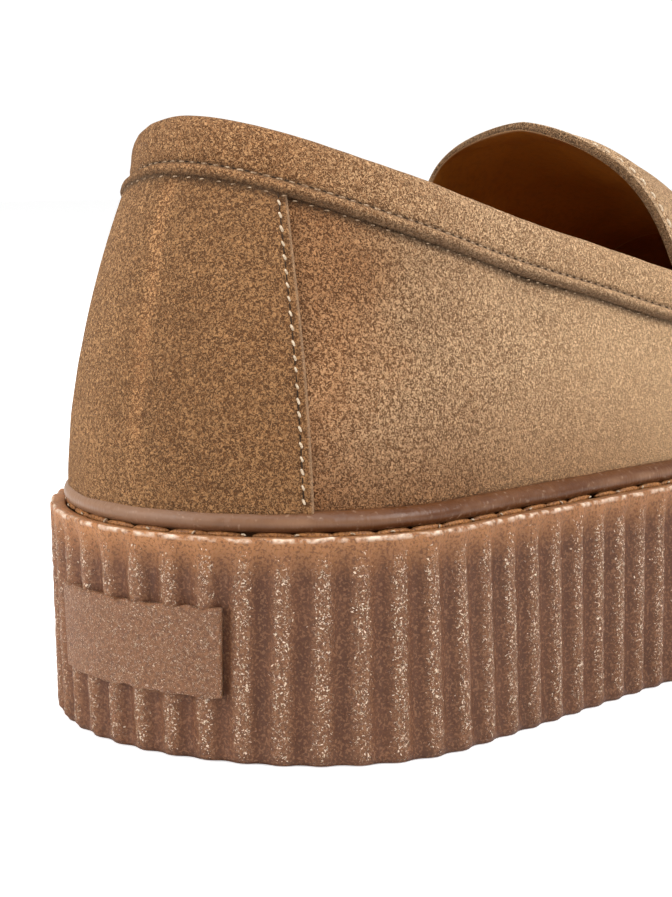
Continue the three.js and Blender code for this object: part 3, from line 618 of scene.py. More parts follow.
suedeTones = {
    "upper": {"Ground": (0.52, 0.292, 0.145), "Deep": (0.145, 0.064, 0.023), "Light": (0.95, 0.64, 0.375)},
    "counter": {"Ground": (0.232, 0.1, 0.035), "Deep": (0.088, 0.033, 0.01), "Light": (0.48, 0.245, 0.098)},
    "collar": {"Ground": (0.52, 0.288, 0.142), "Deep": (0.15, 0.068, 0.025), "Light": (0.95, 0.63, 0.36)},
    "rawEdge": {"Ground": (0.24, 0.125, 0.055), "Deep": (0.085, 0.042, 0.017), "Light": (0.42, 0.25, 0.13)},
}
upperSuede = suedeMaterial("upperSuede", suedeTones["upper"], 0.2, 2.8, upperTone)
counterSuede = suedeMaterial("counterSuede", suedeTones["counter"], 0.2, 2.3, counterTone)
collarSuede = suedeMaterial("collarSuede", suedeTones["collar"], 0.2, 2.5, collarTone)
saddleSuede = suedeMaterial("saddleSuede", suedeTones["upper"], 0.2, 2.8, edgeTone)
rawEdge = suedeMaterial("rawEdge", suedeTones["rawEdge"], 0.5, 1.8, plainTone)


def liningMaterial():
    material, tree, shader, place = newMaterial("liningLeather", {
        "Specular IOR Level": 0.35, "Coat Weight": 0.08, "Coat Roughness": 0.35})
    fine = noise(place, 900.0, 3.0, 0.6, 0.2)
    cloud = noise(place, 42.0, 3.0, 0.55, 0.5)
    creases = noise(stretched(place, (1.0, 0.35, 2.2)), 160.0, 3.0, 0.6, 0.8)
    colour = mixColour(remap(cloud, 0.35, 0.68), (0.3, 0.1, 0.009), (0.42, 0.165, 0.022))
    colour = mixColour(remap(fine, 0.55, 0.35, 0.0, 0.25), colour, (0.12, 0.05, 0.015))
    rim = remap(attributeOf(tree, "fromEdge"), 0.75, 0.35) * attributeOf(tree, "rim")
    colour = mixColour(rim, colour, (0.46, 0.28, 0.14))
    roughness = remap(cloud, 0.3, 0.7, 0.38, 0.55)
    return finish(material, shader, colour, roughness, fine * 0.15 + creases * 0.85, 0.35, 0.0006)


def litInnerHeel(place):  # painted light: the rubber is drawn paler round the inner side of the heel, where the fill light falls
    across, forward, _ = splitVector(place)
    return remap(across, 0.03, -0.026) * remap(forward, -0.09, -0.115)


def rubberMaterial():
    material, tree, shader, place = newMaterial("soleRubber", {
        "Specular IOR Level": 0.26, "Subsurface Weight": 0.14, "Subsurface Radius": (1.0, 0.45, 0.25),
        "Subsurface Scale": 0.0022})
    crest, dusty = attributeOf(tree, "crest"), attributeOf(tree, "dusty")
    patch = noise(place, 110.0, 2.0, 0.5, 0.3)
    valley = mixColour(remap(patch, 0.35, 0.65), (0.077, 0.028, 0.0125), (0.11, 0.042, 0.019))
    ground = mixColour(remap(crest, 0.15, 0.9), valley, (0.165, 0.072, 0.032))
    ground = mixColour(remap(attributeOf(tree, "level"), 0.82, 0.97) * 0.8, ground, (0.38, 0.165, 0.06))
    # painted light on the inner side of the heel
    ground = tint(litInnerHeel(place), ground, (1.55, 1.55, 1.55))
    speck = addNode(tree, "ShaderNodeGroup", {
        "Vector": place, "Ground": ground, "Speck": (0.77, 0.59, 0.44, 1),
        "Amount": calc("ADD", remap(crest, 0.02, 0.8, 0.0, 0.62), dusty, clamp=True),
        "Scale": remap(dusty, 0.0, -0.05, 1900.0, 3000.0)}, node_tree=rubberSpeck)
    colour, roughness, relief = (Value(speck.outputs[key]) for key in surfaceOutputs)
    burr = attributeOf(tree, "burr") * remap(noise(place, 700.0, 3.0), 0.42, 0.66)
    return finish(material, shader, mixColour(burr, colour, (0.72, 0.56, 0.43)), roughness, relief, 0.7, 0.0004)


def randMaterial():
    material, tree, shader, place = newMaterial("randRubber", {
        "Specular IOR Level": 0.3, "Coat Weight": 0.06, "Coat Roughness": 0.24})
    cloud = noise(place, 130.0, 3.0, 0.55, 0.4)
    fine = noise(place, 1100.0)
    wrinkle = noise(stretched(place, (1.0, 1.0, 0.22)), 520.0, 2.0, 0.55, 0.3)
    colour = mixColour(remap(cloud, 0.35, 0.65), (0.09, 0.03, 0.009), (0.12, 0.044, 0.014))
    colour = mixColour(remap(fine, 0.62, 0.72, 0.0, 0.3), colour, (0.45, 0.3, 0.2))
    # painted light on the inner side of the heel
    colour = mixColour(litInnerHeel(place), colour, (0.32, 0.185, 0.112))
    # painted highlight: paler patches along the belly of the rand
    bellyHighlight = remap(abs(attributeOf(tree, "fromMiddle")), 0.9, 0.1) * remap(noise(place, 60.0, 3.0, 0.6), 0.42, 0.66)
    colour = mixColour(bellyHighlight * 0.45, colour, (0.34, 0.19, 0.11))
    return finish(material, shader, colour, remap(cloud, 0.3, 0.7, 0.34, 0.5), wrinkle + fine * 0.15, 0.5, 0.0006)


def threadMaterial(name, pale, deep, roughness):
    material, _, shader, place = newMaterial(name, {"Specular IOR Level": 0.3})
    strand = noise(place, 2600.0)
    return finish(material, shader, mixColour(remap(strand, 0.35, 0.65), deep, pale), roughness, strand, 0.6, 0.0002)


liningLeather, soleRubber, randRubber = liningMaterial(), rubberMaterial(), randMaterial()
creamThread = threadMaterial("creamThread", (0.66, 0.53, 0.38), (0.42, 0.30, 0.19), 0.8)
tanThread = threadMaterial("tanThread", (0.5, 0.35, 0.22), (0.16, 0.09, 0.045), 0.85)
weltThread = threadMaterial("weltThread", (0.52, 0.23, 0.075), (0.2, 0.075, 0.025), 0.5)
holeShade = threadMaterial("holeShade", (0.05, 0.028, 0.014), (0.02, 0.01, 0.005), 0.95)
paleCrumb = threadMaterial("paleCrumb", (0.82, 0.66, 0.52), (0.42, 0.27, 0.17), 0.7)
print("materials ready")

# Geometry trees


def evaluatedMesh(piece):
    return bpy.data.meshes.new_from_object(piece.evaluated_get(bpy.context.evaluated_depsgraph_get()))


def runTree(piece, tree, values):
    modifier = piece.modifiers.new(tree.name, "NODES")
    modifier.node_group = tree
    for item in tree.interface.items_tree:
        if item.item_type == "SOCKET" and item.in_out == "INPUT" and item.name in values:
            modifier[item.identifier] = values[item.name]
    mesh = evaluatedMesh(piece)
    piece.modifiers.remove(modifier)
    piece.data = mesh
    return piece


def named(tree, name, kind="FLOAT"):
    return valueOf(tree, "GeometryNodeInputNamedAttribute", {"Name": name}, data_type=kind)


def randomFloat(tree, low, high, seed):
    return valueOf(tree, "FunctionNodeRandomValue", {2: low, 3: high, 8: seed}, 1, data_type="FLOAT")


def geometryGroup(name, inputs):
    return newGroup(name, {"Geometry": (geometrySocket, None), **inputs}, {"Geometry": geometrySocket},
                    "GeometryNodeTree")


def realize(tree, given, out, placed):
    whole = valueOf(tree, "GeometryNodeRealizeInstances", {"Geometry": placed})
    whole = valueOf(tree, "GeometryNodeSetMaterial", {"Geometry": whole, "Material": given["Material"]})
    putIn(tree, out["Geometry"], whole)
    return tree


def ribTree():  # pushes the valleys between the ribs of a smooth wall inward
    tree, given, out = geometryGroup("soleRibs", {
        "Depth": (floatSocket, 0.0017), "Crest": (floatSocket, 0.1), "Foot": (floatSocket, 0.38),
        "Crumble": (floatSocket, 0.0001), "Wander": (floatSocket, 0.1)})
    position = valueOf(tree, "GeometryNodeInputPosition")
    turn = abs(named(tree, "ribTurn")) + (noise(position, 260.0) - 0.5) * given["Wander"]
    crest = remap(turn, given["Foot"], given["Crest"], kind="SMOOTHSTEP")
    shown = named(tree, "ribShown")
    crumble = (noise(position, 900.0, 3.0, 0.6) - 0.5) * crest * given["Crumble"]
    push = crumble * shown - (1.0 - crest) * shown * given["Depth"]
    offset = valueOf(tree, "ShaderNodeVectorMath", {0: named(tree, "outward", "FLOAT_VECTOR"), "Scale": push},
                     operation="SCALE")
    moved = valueOf(tree, "GeometryNodeSetPosition", {"Geometry": given["Geometry"], "Offset": offset})
    stored = valueOf(tree, "GeometryNodeStoreNamedAttribute", {
        "Geometry": moved, "Name": "crest", "Value": crest * shown}, data_type="FLOAT", domain="POINT")
    putIn(tree, out["Geometry"], stored)
    return tree


def sewTree():  # one stitch on each point, along its row and standing off the leather
    tree, given, out = geometryGroup("stitchRow", {
        "Length": (floatSocket, 0.002), "Thickness": (floatSocket, 0.0006), "Rise": (floatSocket, 0.0002),
        "Slant": (floatSocket, 0.0), "Jitter": (floatSocket, 0.06), "Seed": (seedSocket, 1),
        "Material": (materialSocket, None)})
    half, sunk = given["Length"] * 0.5, given["Thickness"] * -0.55
    path = valueOf(tree, "GeometryNodeCurveQuadraticBezier", {
        "Resolution": 7, "Start": makeVector(tree, half * -1.0, z=sunk),
        "Middle": makeVector(tree, z=given["Rise"] * 2.0), "End": makeVector(tree, half, z=sunk)})
    offMiddle = abs(valueOf(tree, "GeometryNodeSplineParameter", output="Factor") * 2.0 - 1.0)
    radius = given["Thickness"] * 0.5 * calc("SQRT", 1.08 - offMiddle ** 4.0)
    path = valueOf(tree, "GeometryNodeSetCurveRadius", {"Curve": path, "Radius": radius})
    ring = valueOf(tree, "GeometryNodeCurvePrimitiveCircle", {"Resolution": 7, "Radius": 1.0})
    stitch = addNode(tree, "GeometryNodeCurveToMesh", {"Curve": path, "Profile Curve": ring, "Fill Caps": True})
    if "Scale" in stitch.inputs:
        putIn(tree, stitch.inputs["Scale"], radius)
    upright = valueOf(tree, "FunctionNodeAlignRotationToVector", {
        "Vector": named(tree, "standing", "FLOAT_VECTOR")}, axis="Z")
    turned = valueOf(tree, "FunctionNodeAlignRotationToVector", {
        "Rotation": upright, "Vector": named(tree, "sewing", "FLOAT_VECTOR")}, axis="X", pivot_axis="Z")
    placed = valueOf(tree, "GeometryNodeInstanceOnPoints", {
        "Points": given["Geometry"], "Instance": Value(stitch.outputs[0]), "Rotation": turned})
    turn = given["Slant"] + randomFloat(tree, given["Jitter"] * -1.0, given["Jitter"], given["Seed"])
    placed = valueOf(tree, "GeometryNodeRotateInstances", {"Instances": placed, "Rotation": makeVector(tree, z=turn)})
    size = randomFloat(tree, 0.86, 1.1, given["Seed"] + 7.0)
    placed = valueOf(tree, "GeometryNodeScaleInstances", {"Instances": placed, "Scale": size})
    return realize(tree, given, out, placed)


def crumbTree():  # small flat flakes scattered over the crests
    tree, given, out = geometryGroup("crumbs", {
        "Density": (floatSocket, 1.0e6), "Size": (floatSocket, 0.0003), "Seed": (seedSocket, 1),
        "Material": (materialSocket, None)})
    spread = addNode(tree, "GeometryNodeDistributePointsOnFaces", {
        "Mesh": given["Geometry"], "Density": named(tree, "crumbShare") ** 1.5 * given["Density"],
        "Seed": given["Seed"]}).outputs
    flake = valueOf(tree, "GeometryNodeMeshIcoSphere", {"Radius": given["Size"], "Subdivisions": 1})
    scale = valueOf(tree, "FunctionNodeRandomValue", {0: (0.4, 0.3, 0.18), 1: (1.5, 0.7, 0.5), 8: 4},
                    data_type="FLOAT_VECTOR")
    placed = valueOf(tree, "GeometryNodeInstanceOnPoints", {
        "Points": Value(spread["Points"]), "Instance": flake, "Rotation": Value(spread["Rotation"]), "Scale": scale})
    spin = makeVector(tree, z=randomFloat(tree, 0.0, 6.28, 9))
    placed = valueOf(tree, "GeometryNodeRotateInstances", {"Instances": placed, "Rotation": spin})
    return realize(tree, given, out, placed)


soleRibs, stitchRow, crumbs = ribTree(), sewTree(), crumbTree()


def along(points, pitch, start=0.5):  # places every pitch along a line, as row numbers with shares
    arc = np.concatenate([[0], np.cumsum(np.linalg.norm(np.diff(points, axis=0), axis=1))])
    return np.interp(np.arange(pitch * start, arc[-1] - pitch * 0.2, pitch), arc, np.arange(len(points)))


def sewRow(name, points, normals, sizes, material, seed, slot):
    at = along(points, sizes["pitch"], sizes.get("start", 0.5))
    rows = np.arange(len(points))
    pick = lambda data: np.stack([np.interp(at, rows, data[:, k]) for k in range(3)], -1)
    tangents = np.gradient(points, axis=0)
    rng = np.random.default_rng(seed)
    placed = pick(points) + unit(pick(tangents)) * rng.normal(0, 0.05 * sizes["pitch"], (len(at), 1))
    piece = buildObject(name, placed, [], [material], values={
        "sewing": unit(pick(tangents)), "standing": unit(pick(normals))})
    runTree(piece, stitchRow, {
        "Length": sizes["length"] * millimetre, "Thickness": sizes["thickness"] * millimetre,
        "Rise": sizes["rise"] * millimetre, "Slant": sizes.get("slant", 0.0), "Jitter": sizes.get("jitter", 0.06),
        "Seed": seed, "Material": material})
    piece.data.shade_smooth()
    dress(piece, slot)
    return piece


def dress(piece, slot, *nodes):
    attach(piece, "root")
    if nodes:
        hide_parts(*nodes)
    print(piece.name, "made,", sum(len(p.vertices) - 2 for p in piece.data.polygons), "triangles")


# Sole

soleSizes = {
    "ribPitch": 6.14, "ribDepth": 1.35, "ribPhase": 0.4, "ribTopShare": 0.22, "ribFade": 5.0, "ribFootShare": 0.5,
    "crest": 0.03, "foot": 0.47, "crumble": 0.6, "wander": 0.14, "footBevel": 0.75,
    "turns": [-0.5, -0.43, -0.37, -0.3, -0.22, -0.13, 0, 0.13, 0.22, 0.3, 0.37, 0.43],  # columns of one rib
    "plateWidth": 35.4, "plateHeight": 14.0, "plateFoot": 10.2, "plateProud": 0.3, "plateSunk": 0.25,
    "plateRounding": 0.45,
    "slotWidth": 3.2, "slotDepth": 1.6, "slotMargin": 11.0, "slotGroups": [(0.07, 0.22, 4), (0.5, 0.74, 6)],
    "flakeDensity": 1.5, "flakeSize": 0.2,
    # over the lip, the ledge and the channel: inset, lift, share of the ribs, pale burr
    "lip": [(0.0, 0.05, 1, 1.0), (0.22, 0.32, 1, 1.0), (0.6, 0.28, 0.7, 0.25), (1.4, 0.26, 0.25, 0),
            (2.35, 0.2, 0, 0), (2.55, 0.0, 0, 0), (2.6, -1.0, 0, 0), (9.0, -1.0, 0, 0)],
}


def ribColumns():
    wallLength = outerLength + innerLength
    ribCount = round(wallLength / soleSizes["ribPitch"])
    pitch = wallLength / ribCount
    innerRibs = math.floor(innerLength / pitch + soleSizes["ribPhase"])
    turns = np.array(soleSizes["turns"])
    middles = (np.arange(ribCount) + soleSizes["ribPhase"]) * pitch
    middles = np.where(np.arange(ribCount) < ribCount - innerRibs, middles, middles - wallLength)
    arcs = (middles[:, None] + turns[None] * pitch).ravel()
    return shareAtArc(arcs), np.tile(turns, ribCount)


def ribFade(height):  # share of a rib's depth that is left towards the top of the wall
    tall = solePlan["heelHeight"]
    return lerp(1.0, soleSizes["ribTopShare"], smooth(height, tall - soleSizes["ribFade"], tall))


def makeSole():
    share, turns = ribColumns()
    tall = solePlan["heelHeight"]
    heights = np.concatenate([[0, 0.3, 0.9], np.linspace(1.8, tall - 5, 32), np.linspace(tall - 4.2, tall - 0.5, 7)])
    rings, shown, levels, burr = [], [], [], []
    for height in heights:
        rings.append(wallPoint(share, height / tall, soleSizes["footBevel"] * (1 - smooth(height, 0, 1.0))))
        shown.append(ribFade(height) * lerp(soleSizes["ribFootShare"], 1.0, smooth(height, 0, 3.0)))
        levels.append(height / tall)
        burr.append(0.0)
    lipNoise = ripples(wallPoint(share, 1.0, 0.0), 5, 4.0)
    for inset, lift, part, whitish in soleSizes["lip"]:
        ring = wallPoint(share, 1.0, inset)
        ring[:, 2] += lift + (0.12 * lipNoise if whitish == 1.0 else 0)
        rings.append(ring)
        shown.append(soleSizes["ribTopShare"] * part)
        levels.append(1.0 if lift > -0.5 else 0.8)
        burr.append(whitish)
    rings = np.array(rings)
    rows, columns = rings.shape[:2]
    outward = np.zeros((columns, 3))
    outward[:, :2] = np.stack(insetPoint(share, -1.0), -1) - np.stack(insetPoint(share, 0.0), -1)
    spread = lambda data: np.repeat(np.asarray(data, float), columns)
    faces = gridFaces(rows, columns, columnLoop=True)
    index = np.arange(rows * columns).reshape(rows, columns)
    faces += [index[0, ::-1].tolist(), index[-1].tolist()]
    piece = buildObject("ribbedSole", rings.reshape(-1, 3), faces, [soleRubber], values={
        "ribTurn": np.tile(turns, rows), "ribShown": spread(shown), "outward": np.tile(outward, (rows, 1)),
        "level": spread(levels), "burr": spread(burr)})
    return runTree(piece, soleRibs, {
        "Depth": soleSizes["ribDepth"] * millimetre, "Crest": soleSizes["crest"], "Foot": soleSizes["foot"],
        "Crumble": soleSizes["crumble"] * millimetre, "Wander": soleSizes["wander"]})


def makePlate():
    tall = solePlan["heelHeight"]
    across = edgeRows(soleSizes["plateWidth"], 0.8)
    upward = edgeRows(soleSizes["plateHeight"], 0.6)
    arc = lerp(-soleSizes["plateWidth"] / 2, soleSizes["plateWidth"] / 2, across)[None, :]
    height = (soleSizes["plateFoot"] + soleSizes["plateHeight"] * upward)[:, None]
    share, level = np.broadcast_arrays(shareAtArc(arc), height / tall)
    flat = wallPoint(share, level, 0.0)
    inEdge = roundOver(edgeDistance(flat) / soleSizes["plateRounding"])
    ragged = 0.2 * ripples(flat, 8, 2.6) * bell(edgeDistance(flat), 0, 0.5)
    high = wallPoint(share, level, lerp(soleSizes["plateSunk"], -soleSizes["plateProud"], inEdge))
    high[..., 2] += ragged
    low = wallPoint(share, level, soleSizes["ribDepth"] + 0.6)
    points, faces, _ = closedPatch(low, high)
    count = len(points)
    return buildObject("plateBlank", points, faces, [soleRubber], values={
        "crest": np.full(count, 0.95), "level": np.full(count, 0.4), "dusty": np.full(count, -0.06)})


def treadCutter():
    boxes, faces = [], []
    corner = np.array([[x, y, z] for z in (-1, 1) for y in (-1, 1) for x in (-1, 1)], float)
    for start, end, count in soleSizes["slotGroups"]:
        for share in np.linspace(start, end, count):
            y = solePlan["length"] * share
            spread = tableValue(planTable, "spread", share)
            half = lerp(solePlan["heelWidth"] / 2, solePlan["ballWidth"] / 2, spread) - soleSizes["slotMargin"]
            middle = np.array([solePlan["toeSwing"] * tableValue(planTable, "swing", share), y, footHeight(y)])
            size = np.array([half, soleSizes["slotWidth"] / 2, soleSizes["slotDepth"]])
            first = 8 * len(boxes)
            faces += [[first + k for k in quad] for quad in
                      ([0, 2, 3, 1], [4, 5, 7, 6], [0, 1, 5, 4], [2, 6, 7, 3], [0, 4, 6, 2], [1, 3, 7, 5])]
            boxes.append(middle + corner * size)
    return buildObject("treadCutter", np.concatenate(boxes), faces, [soleRubber])


def finishSole(sole):
    cutter = treadCutter()
    cut = sole.modifiers.new("tread", "BOOLEAN")
    cut.operation, cut.solver, cut.object = "DIFFERENCE", "EXACT", cutter
    mesh = evaluatedMesh(sole)
    sole.modifiers.remove(cut)
    sole.data = mesh
    bpy.data.objects.remove(cutter)
    plate = makePlate()
    with bpy.context.temp_override(active_object=sole, selected_editable_objects=[sole, plate]):
        bpy.ops.object.join()
    dress(sole, "sole_rubber", "sole")
    return sole


sole = finishSole(makeSole())


def makeCrumbs():
    share, turns = ribColumns()
    tall = solePlan["heelHeight"]
    heights = np.linspace(1.0, tall - 1.5, 30)
    onCrest = smooth(np.abs(turns), soleSizes["foot"], soleSizes["crest"])
    depth = soleSizes["ribDepth"] * (1 - onCrest)
    rings = np.array([wallPoint(share, height / tall, depth * ribFade(height) - 0.02) for height in heights])
    patchy = 0.55 + 0.45 * np.clip(ripples(rings, 12, 9.0), -1, 1)
    arc = np.abs(arcOfShare(share))[None, :]
    onPlate = (arc < soleSizes["plateWidth"] / 2 + 1) & (heights[:, None] > soleSizes["plateFoot"] - 1) & (
        heights[:, None] < soleSizes["plateFoot"] + soleSizes["plateHeight"] + 1)
    shareOfCrumbs = (onCrest**2)[None, :] * patchy * np.where(onPlate, 0.0, 1.0)
    piece = buildObject("soleFlakes", rings.reshape(-1, 3), gridFaces(len(heights), len(share), columnLoop=True),
                        [paleCrumb], values={"crumbShare": shareOfCrumbs.ravel()})
    runTree(piece, crumbs, {"Density": soleSizes["flakeDensity"] * 1e6, "Size": soleSizes["flakeSize"] * millimetre,
                            "Seed": 3, "Material": paleCrumb})
    dress(piece, "sole_rubber")


makeCrumbs()

# Rand and the stitches in the channel

randSizes = {
    # height over the sole, out from the upper
    "section": [(-0.65, 0.05), (-0.65, 0.3), (0.35, 0.4), (0.6, 0.85), (0.82, 1.45), (1.2, 1.9), (1.75, 2.12),
                (2.4, 2.12), (2.9, 1.92), (3.3, 1.5), (3.62, 1.0), (3.85, 0.55), (3.92, 0.1), (3.6, -0.1)],
    "middle": 2.3, "stitchAt": (0.4, 1.4), "knotAt": (0.45, 1.85),
    "stitch": {"pitch": 6.6, "length": 6.9, "thickness": 1.0, "rise": 0.1, "jitter": 0.04},
    "knot": {"pitch": 7.9, "length": 0.8, "thickness": 0.3, "rise": 0.1, "jitter": 1.4},
}


def wholeWay(count):
    return np.linspace(0, 1, count, endpoint=False)


def outsideFoot(share, height, out):
    up = upAtHeight(share, height)
    p = shellPoint(share, up, out)
    p[..., 2] = topHeight(p[..., 1]) + height
    return p


def makeRand():
    share = wholeWay(560)
    rings = []
    for height, out in randSizes["section"]:
        ring = outsideFoot(share, height, out)
        if out > 0.6:
            ring[:, 2] += 0.07 * ripples(ring, 31, 14.0)
        rings.append(ring)
    faces = gridFaces(len(rings), len(share), rowLoop=True, columnLoop=True)
    fromMiddle = np.repeat([height - randSizes["middle"] for height, _ in randSizes["section"]], len(share))
    piece = buildObject("mouldedRand", np.concatenate(rings), faces, [randRubber], values={"fromMiddle": fromMiddle})
    dress(piece, "rand_rubber", "rand")


def channelLine(height, out):
    share = wholeWay(900)
    return outsideFoot(share, height, out), unit(lastNormal(share, 0.02) * 0.8 + np.array([0, 0, 0.6]))


makeRand()
sewRow("weltStitches", *channelLine(*randSizes["stitchAt"]), randSizes["stitch"], weltThread, 21, "rand_rubber")
sewRow("weltKnots", *channelLine(*randSizes["knotAt"]), randSizes["knot"], creamThread, 22, "rand_rubber")

# Upper

creaseTable = [  # each a path of (across, y) over the last; depth is into the leather
    {"path": [(-0.55, 199), (-0.3, 206), (0.0, 209), (0.3, 206), (0.56, 197)], "depth": 0.75, "width": 4.5},
    {"path": [(-0.5, 208), (-0.25, 215), (0.05, 218), (0.34, 214), (0.5, 208)], "depth": 0.45, "width": 4.0},
    {"path": [(0.4, 184), (0.6, 181), (0.78, 176)], "depth": 0.5, "width": 4.0},
    {"path": [(-0.4, 185), (-0.6, 182), (-0.8, 177)], "depth": 0.5, "width": 4.0},
    {"path": [(0.56, 118), (0.7, 124), (0.85, 133)], "depth": 0.35, "width": 5.0},
    {"path": [(0.5, 86), (0.68, 93), (0.86, 98)], "depth": 0.22, "width": 8.0},
    {"path": [(0.45, 60), (0.62, 63), (0.84, 62)], "depth": 0.2, "width": 9.0},
    {"path": [(-0.55, 80), (-0.7, 92), (-0.86, 104)], "depth": 0.3, "width": 7.0},
    {"path": [(-0.6, 118), (-0.75, 126), (-0.88, 134)], "depth": 0.35, "width": 5.0},
]
seamSizes = {
    "height": 1.2, "start": 196.0, "rise": 12.0, "row": 0.682, "width": 0.011,
    "sewnAt": 0.708, "sewnFrom": 0.585, "sewnTo": 0.985,
}
upperMesh = {
    "swell": [(0.22, 41, 34.0), (0.1, 42, 13.0)],  # height, seed, reach
    # from, to, count
    "columns": [(0, 0.12, 22), (0.12, 0.38, 56), (0.38, 0.485, 26), (0.485, 0.605, 60), (0.605, 0.84, 62),
                (0.84, 1, 30)],
    "rows": [(0, 0.64, 38), (0.65, 0.715, 14), (0.73, 1, 15)], "innerRows": 40,
}


def pathPoints(path, perStep=6):
    steps = [np.linspace(a, b, perStep, endpoint=False) for a, b in zip(path, path[1:])]
    return lastPoint(*placeAlong(*np.concatenate(steps + [path[-1:]]).T))


def creaseRelief(points):
    relief = np.zeros(points.shape[:-1])
    for crease in creaseTable:
        line = pathPoints(crease["path"])
        nearest = np.full(relief.shape, 1e9)
        taper = np.zeros(relief.shape)
        for k, p in enumerate(line):
            reach = np.linalg.norm(points - p, axis=-1)
            closer = reach < nearest
            nearest = np.where(closer, reach, nearest)
            taper = np.where(closer, math.sin(math.pi * (k + 0.5) / len(line)) ** 0.6, taper)
        width = crease["width"]
        relief += crease["depth"] * taper * (0.45 * bell(nearest, 1.5 * width, 0.7 * width)
                                             - bell(nearest, 0, 0.55 * width))
    return relief


def upperColumns():
    ways = np.concatenate([np.linspace(*span, endpoint=False) for span in upperMesh["columns"]])
    return np.concatenate([ways / 2, [0.5], 1 - ways[:0:-1] / 2])


def makeUpper():
    share = upperColumns()
    top = toplineUp(share)
    closed = top > 0.999
    outerRow = np.round(np.concatenate([np.linspace(*span) for span in upperMesh["rows"]]), 5)
    innerRow = np.linspace(0, 1, upperMesh["innerRows"])
    outerUp, innerUp = outerRow[:, None] * top[None], innerRow[:, None] * top[None]
    base = lastPoint(share, outerUp)
    seam = (seamSizes["height"] * np.clip((base[..., 1] - seamSizes["start"]) / seamSizes["rise"], 0, 1)
            * bell(outerRow[:, None], seamSizes["row"], seamSizes["width"]) * closed[None])
    calm = smooth(outerRow, 0, 0.12)[:, None] * np.where(closed[None], 1, smooth(outerRow, 1, 0.85)[:, None])
    offset = seam + (swellOf(base, upperMesh) + creaseRelief(base)) * calm
    outer = shellPoint(share, outerUp, offset)
    inner = shellPoint(share, innerUp, -upperSizes["wall"])
    columns, outerRows, innerRows = len(share), len(outer), len(inner)
    count = outerRows * columns
    faces = gridFaces(outerRows, columns, columnLoop=True)
    kinds = [0] * len(faces)
    faces += gridFaces(innerRows, columns, count, columnLoop=True, flip=True)
    kinds += [1] * (len(faces) - len(kinds))
    lowOut, lowIn = np.arange(columns), np.arange(columns) + count
    faces += bridge(lowIn, lowOut, loop=True)
    highOut, highIn = lowOut + (outerRows - 1) * columns, lowIn + (innerRows - 1) * columns
    for i in range(columns):
        j = (i + 1) % columns
        if not (closed[i] and closed[j]):
            faces.append([int(highOut[i]), int(highOut[j]), int(highIn[j]), int(highIn[i])])
    kinds += [0] * (len(faces) - len(kinds))
    points = np.concatenate([outer.reshape(-1, 3), inner.reshape(-1, 3)])
    # both sides share the ridge where the vamp is closed
    merged = np.arange(len(points))
    for rowStart in (highOut, highIn):
        for i in range(columns // 2 + 1, columns):
            if closed[i]:
                merged[rowStart[i]] = rowStart[columns - i]
    faces = [[int(merged[v]) for v in face] for face in faces]
    whole = ((list(dict.fromkeys(face)), kind) for face, kind in zip(faces, kinds))
    faces, kinds = zip(*[(face, kind) for face, kind in whole if len(face) > 2])
    used = np.unique(np.concatenate(faces))
    renumber = np.zeros(len(points), int)
    renumber[used] = np.arange(len(used))
    faces = [[int(renumber[v]) for v in f] for f in faces]
    height = points[:, 2] - topHeight(points[:, 1])
    edge = np.where(closed, 99.0, heightAt(share, top))  # a closed vamp has no topline
    around, below = (np.tile(row, outerRows + innerRows) for row in (arcOfShare(share), edge))
    place = np.stack([around, height, below - height], -1)
    piece = buildObject("upperShell", points[used], faces, [upperSuede, liningLeather], kinds, {"place": place[used]})
    dress(piece, "upper_suede", "upper")


makeUpper()

# Counter panel

counterSizes = {
    "foot": 32.5, "top": 26.0, "bow": 1.2, "thick": 1.15, "rounding": 0.6, "seamIn": 1.85, "dip": 0.38,
    "dipWidth": 0.55, "crease": 0.25, "creaseWidth": 2.2, "lowest": 3.2, "sewnFrom": 4.4,
    "swell": [(0.16, 51, 30.0), (0.07, 52, 10.0)],
    "stitch": {"pitch": 2.2, "length": 1.05, "thickness": 0.4, "rise": 0.14},
    "hole": {"pitch": 2.2, "start": 1.0, "length": 1.3, "thickness": 0.3, "rise": 0.0},
}
bandDrop = 7.7


def counterHalf(upward):
    return lerp(counterSizes["foot"], counterSizes["top"], upward) + counterSizes["bow"] * np.sin(np.pi * upward)


def counterGrid():
    across = edgeRows(2 * counterSizes["foot"], 0.85)
    upward = np.linspace(0, 1, 64)
    half = counterHalf(upward)[:, None]
    arc = half * (2 * across - 1)
    share = shareAtArc(arc)
    foot = upAtHeight(share, counterSizes["lowest"])
    under = upAtHeight(share, heightAt(share, toplineUp(share)) - bandDrop + 0.8)
    return share, lerp(foot, under, upward[:, None]), arc, half


def makeCounter():
    share, up, arc, half = counterGrid()
    base = lastPoint(share, up)
    fromSide = half - np.abs(arc)
    rise = counterSizes["thick"] * roundOver(fromSide / counterSizes["rounding"])
    height = base[..., 2] - topHeight(base[..., 1])
    crease = -counterSizes["crease"] * bell(arc, 0, counterSizes["creaseWidth"]) * smooth(height, 6, 16)
    swell = swellOf(base, counterSizes) * smooth(fromSide, 0, 6)
    high = shellPoint(share, up, rise + seamDip(fromSide, counterSizes) + crease + swell + 0.1)
    points, faces, kinds = closedPatch(shellPoint(share, up, -0.2), high, under=0, edge=1)
    below = heightAt(share, toplineUp(share)) - height
    place = np.stack([arc, height, below], -1).reshape(-1, 3)
    piece = buildObject("counterPanel", points, faces, [counterSuede, rawEdge], kinds, {
        "place": np.tile(place, (2, 1)), "fromSide": np.tile(fromSide.ravel(), 2)})
    dress(piece, "counter_suede", "counter_panel")


def counterSeam(side):
    upward = np.linspace(0.0, 1.0, 120)
    arc = side * (counterHalf(upward) - counterSizes["seamIn"])
    share = shareAtArc(arc)
    foot = upAtHeight(share, counterSizes["sewnFrom"])
    under = upAtHeight(share, heightAt(share, toplineUp(share)) - bandDrop + 0.4)
    up = lerp(foot, under, upward)
    return shellPoint(share, up, counterSizes["thick"] - 0.12), lastNormal(share, up)


